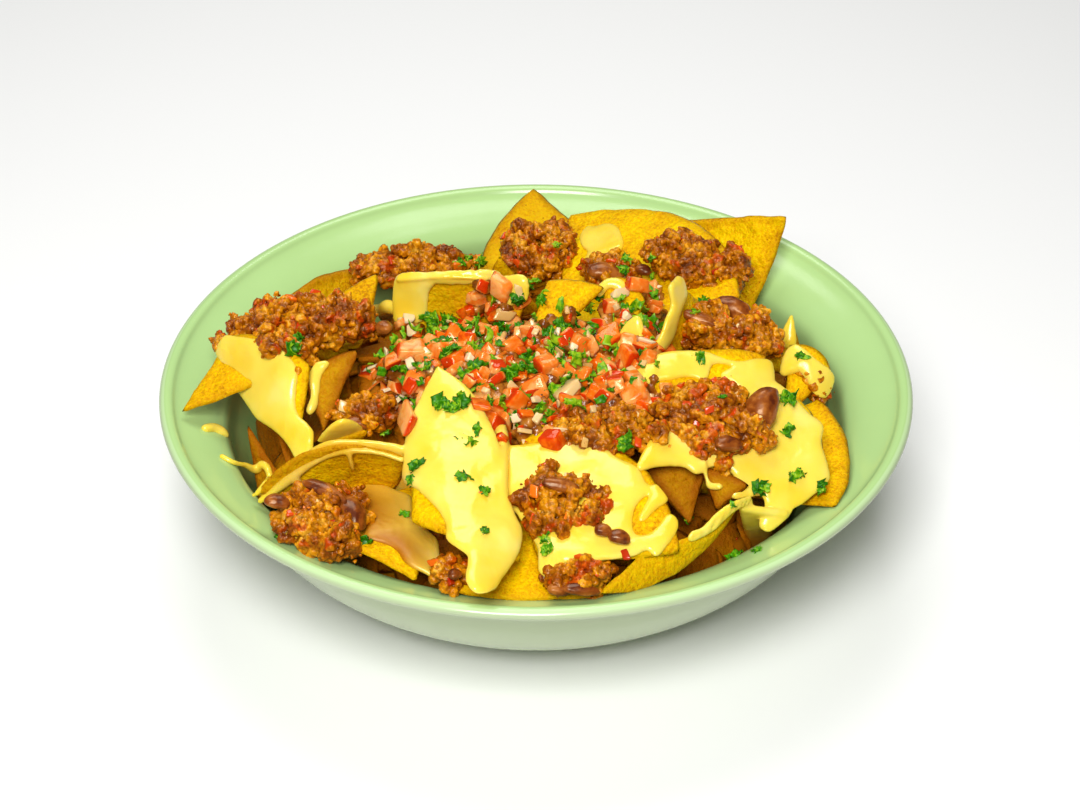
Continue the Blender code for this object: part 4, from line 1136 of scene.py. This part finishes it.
meat = node(tree, "ShaderNodeValToRGB", {}, {"Fac": ripe.outputs[0]}, stops=(
    (0.4, "CC4004"), (0.58, "E4660A"), (0.74, "EA7C24"), (0.94, "F2A256"))).outputs["Color"]
side = node(tree, "ShaderNodeAttribute", attribute_name="rind").outputs["Fac"]
skin = node(tree, "ShaderNodeMapRange", {"From Min": 0.38, "From Max": 0.46}, {"Value": side})
skinned = node(tree, "ShaderNodeMix", {"B": linear("CC3604")}, {"Factor": skin.outputs[0], "A": meat},
               data_type="RGBA")
tree.links.new(skinned.outputs["Result"], shader.inputs["Base Color"])
wet = node(tree, "ShaderNodeBump", {"Strength": 0.5, "Distance": 0.0008}, {"Height": flesh.outputs["Fac"]})
tree.links.new(wet.outputs[0], shader.inputs["Normal"])
cubes = [block_mesh(size, 0.2, k) for k, size in enumerate(
    ((1.1, 1.0, 0.8), (1.0, 1.0, 1.0), (1.3, 0.9, 0.7), (1.1, 1.1, 0.6), (0.9, 0.9, 0.8)))]
salsa_ground = surfaces_of("salsa_pulp", "cheese_", "tortilla_", "chili_at_the_right",
                           "glazed_bowl")
piece("slid_tomato", laid_on(salsa_ground, SLID_TOMATO, cubes, 3, 0.45, -0.12), tomato)
big = variants("dice", [block_mesh(np.multiply(size, 6.2), 0.2, k) for k, size in enumerate(
    ((1.1, 1.0, 0.8), (1.0, 1.0, 1.0), (1.3, 0.9, 0.7), (1.1, 1.1, 0.6)), 5)])
piece("diced_tomato", scattered(mound_mesh, big, tomato, 10.0, 8, (0.8, 1.25), 0.8, 0.4), tomato)
small = variants("tomato", [block_mesh(size, 0.22, 10 + k) for k, size in enumerate(
    ((4.2, 3.4, 2.8), (3.6, 3.6, 3.2), (5.2, 3.0, 2.6), (4.4, 4.2, 2.2), (3, 3, 3)))])
piece("tomato_bits", scattered(mound_mesh, small, tomato, 4.9, 3, (0.7, 1.6), 1.0, 0.3), tomato)

# Onion: thin curved slips and small dice of raw white onion, translucent and wet.
SLID_ONION = (
    (-45, 21, 7, 5.2), (-6, 10, 26, 4.4), (28, 14, 22, 6.6), (12, -38, 17, 9), (20, -42, 10, 7.7),
    (8, -61, 18, 4.1), (-47, -18, 0, 4.3), (-11, 7, 20, 6.5), (28, -27, 16, 4.9), (-28, -24, 17, 4.2),
)
onion = shaded_look("raw_chopped_onion", ((0.1, "C89850"), (0.5, "DEBA7C"), (0.9, "F0D8AC")), {
    "Roughness": 0.2, "Specular Tint": (1.0, 0.9, 0.7, 1.0), "Subsurface Weight": 0.5,
    "Subsurface Radius": (0.006, 0.0045, 0.002)})
slips = [block_mesh(size, 0.2, k) for k, size in enumerate(
    ((1.2, 0.5, 0.25), (1.0, 0.45, 0.35), (1.4, 0.35, 0.25), (0.9, 0.7, 0.4)), 20)]
piece("slid_onion", laid_on(salsa_ground, SLID_ONION, slips, 4, 0.35, -0.3), onion)
specks = variants("onion", [block_mesh(size, 0.2, k) for k, size in enumerate(
    ((4, 2.2, 1.2), (3.4, 2, 1.6), (5, 1.8, 1.2), (2.6, 2.4, 1.8)), 30)])
piece("onion_bits", scattered(mound_mesh, specks, onion, 5.2, 11, (0.7, 1.35), 0.8, 1.0), onion)

# ---------------------------------------------------------------------------------------
# Parsley: curly leaf, chopped 2 to 6 mm and thrown over the top. Each fleck is a torn,
# crinkled scrap of leaf with a few lobes.


def leaf_mesh(seed):
    """One crinkled scrap of leaf about 5 mm across, as a thin closed sheet."""
    rng = np.random.default_rng(seed)
    rim = 14
    angles = np.linspace(0, math.tau, rim, endpoint=False)
    lobes, start = rng.integers(3, 6), rng.uniform(0, 6.3)
    reach = 2.3 + 0.3 * np.cos(angles * lobes + start) + rng.normal(0, 0.24, rim)
    stretch = rng.uniform(0.35, 0.7)
    flat = [np.zeros(2)]
    for share in (0.55, 1.0):
        flat += [np.array([math.copysign(abs(math.cos(a)) ** 0.7, math.cos(a)),
                           math.copysign(abs(math.sin(a)) ** 0.7, math.sin(a)) * stretch]) * r * share
                 for a, r in zip(angles, reach)]
    flat = np.array(flat)
    curl = wander(np.column_stack([flat, np.zeros(len(flat))]), 1.7, seed * 2.0)[:, 2] * 1.5
    curl += 0.2 * flat[:, 0] ** 2 * rng.uniform(-0.6, 1)
    curl[1 + rim:] += 0.5 * np.sin(angles * rng.integers(4, 7) + start)
    middle = np.column_stack([flat, curl])
    top, bottom = middle + (0, 0, 0.16), middle - (0, 0, 0.16)
    faces = []
    for k in range(rim):
        a, b = 1 + k, 1 + (k + 1) % rim
        c, d = a + rim, b + rim
        faces += [(0, a, b), (a, c, d, b)]
    low = [tuple(len(flat) + v for v in reversed(face)) for face in faces]
    edge = [(1 + rim + (k + 1) % rim, 1 + rim + k, len(flat) + 1 + rim + k,
             len(flat) + 1 + rim + (k + 1) % rim) for k in range(rim)]
    mesh = bpy.data.meshes.new("leaf")
    mesh.from_pydata(np.vstack([top, bottom]) / 1000, [], faces + low + edge)
    mesh.shade_smooth()
    return mesh


# Pinches dropped over the top: where, how far each pinch spreads, and its tufts.
PINCHES = (
    ((-36, 20, 8), 5, 7), ((-31, -3, 14), 4, 5), ((-24, -18, 18), 5, 6), ((-13, -2, 17), 5, 5),
    ((-25, -52, 26), 4, 6), ((-22, -66, 21), 3, 4), ((-12, -36, 17), 5, 7), ((-5, -47, 14), 2, 2),
    ((-2, -25, 18), 4, 5), ((5, -14, 18), 5, 7), ((10, -26, 19), 4, 4), ((8, -38, 16), 4, 3),
    ((-5, 10, 25), 3, 4), ((9, 2, 21), 3, 5), ((24, -14, 17), 5, 2), ((31, 10, 19), 5, 4),
    ((25, -29, 16), 2, 3), ((29, -67, 19), 1, 3), ((1, -100, 6), 2, 2), ((-22, 71, 0), 1, 3),
    ((30, 54, 11), 3, 2), ((-81, -11, 19), 2, 3), ((84, -38, 12), 2, 3), ((84, -65, 4), 2, 2),
    ((66, -88, -9), 3, 2),
)
SINGLE = (
    (20, 43, -3), (-48, -4, 12), (-50, -40, 1), (8, -58, 17), (-40, -80, 13), (-43, -78, -3),
    (-23, -84, 17), (-82, -88, -4), (-54, -93, -1), (-38, -76, 16), (62, -86, 8), (47, -65, -18),
    (-16, -105, 12), (-16, -88, 15), (-28, 66, 3), (8, 77, 4), (41, 50, 15), (60, 34, 6), (54, 3, 23),
    (73, 56, -15), (90, -8, 12), (93, -66, 0), (72, -71, 3), (55, -24, 22), (61, -50, 24), (83, -50, 10),
)
parsley, tree, shader, place = new_material("chopped_curly_parsley", {"Roughness": 0.4,
    "Specular IOR Level": 0.25, "Subsurface Weight": 0.15,
    "Subsurface Radius": (0.0008, 0.0015, 0.0003)})
vein = node(tree, "ShaderNodeTexNoise", {"Scale": 700.0, "Detail": 2.0}, {"Vector": place})
each = node(tree, "ShaderNodeAttribute", attribute_name="shade").outputs["Fac"]
tone = node(tree, "ShaderNodeMath", {1: 0.5}, {0: each, 2: vein.outputs["Fac"]}, operation="MULTIPLY_ADD")
green = node(tree, "ShaderNodeValToRGB", {}, {"Fac": tone.outputs[0]}, stops=(
    (0.3, "184C00"), (0.6, "2C7200"), (0.8, "509404"), (1.0, "94BA18")))
tree.links.new(green.outputs["Color"], shader.inputs["Base Color"])
leaves = [leaf_mesh(k) for k in range(6)]
rng = np.random.default_rng(12)
tufts = [(spot, rng.uniform(2.4, 4.4)) for spot in SINGLE]
for spot, spread, count in PINCHES:
    tufts += [(spot + rng.normal(0, spread, 3) * (1, 1, 0.2), rng.uniform(3.2, 5.2)) for _ in range(count)]
sprigs = []
for spot, size in tufts:
    for scrap in range(2 + int(size / 1.4)):
        away = rng.normal(0, 0.2 * size, 3) * (1, 1, 0.5) * min(scrap, 1)
        sprigs.append((*(spot + away), rng.uniform(0.17, 0.27) * size))
herb_ground = surfaces_of("salsa", "diced", "slid", "tomato_bits", "cheese_", "tortilla_",
                          "chili_at", "glazed", "kidney")
piece("chopped_parsley", laid_on(herb_ground, sprigs, leaves, 5, 0.6, -0.7), parsley)
piece("parsley_bits", scattered(mound_mesh, variants("leaf", leaves), parsley, 3.5, 21, (0.6, 1.35),
                                1.2, 2.4, share=0.55), parsley)

# ---------------------------------------------------------------------------------------
# Setting: a plain pale floor, a broad soft light above the front and one above the back, an
# even pale surround, and the camera.
floor_mesh = bpy.data.meshes.new("floor")
floor_mesh.from_pydata([(-3, -3, 0), (3, -3, 0), (3, 3, 0), (-3, 3, 0)], [], [(0, 1, 2, 3)])
plain, tree, shader, place = new_material("plain_floor", {"Base Color": linear("F4F4F2"),
    "Roughness": 0.8})
floor_mesh.materials.append(plain)
floor = bpy.data.objects.new("floor", floor_mesh)
bpy.context.scene.collection.objects.link(floor)

world = bpy.data.worlds.new("surround")
world.use_nodes = True
world.node_tree.nodes["Background"].inputs["Color"].default_value = (1, 1, 1, 1)
world.node_tree.nodes["Background"].inputs["Strength"].default_value = 0.09
bpy.context.scene.world = world
LIGHTS = (
    ("softbox_front", (-0.1, -0.8, 0.9), 0.45, 15.5),
    ("softbox_behind", (-0.05, 0.45, 0.95), 0.6, 5.5),
)
for name, place, size, power in LIGHTS:
    lamp = bpy.data.lights.new(name, "AREA")
    lamp.size = size
    lamp.energy = power
    light = bpy.data.objects.new(name, lamp)
    light.location = place
    light.rotation_euler = Vector(place).to_track_quat("Z", "Y").to_euler()
    bpy.context.scene.collection.objects.link(light)

TILT = math.radians(34.58)
DISTANCE = 0.85
lens = bpy.data.cameras.new("camera")
lens.sensor_width = 36.0
lens.lens = 81.63
lens.shift_x = 0.0037
lens.shift_y = -0.0315
camera = bpy.data.objects.new("camera", lens)
camera.location = (0, -DISTANCE * math.cos(TILT), RIM_HEIGHT / 1000 + DISTANCE * math.sin(TILT))
camera.rotation_euler = (math.pi / 2 - TILT, 0, 0)
bpy.context.scene.collection.objects.link(camera)
bpy.context.scene.camera = camera
bpy.context.scene.view_settings.view_transform = "Standard"
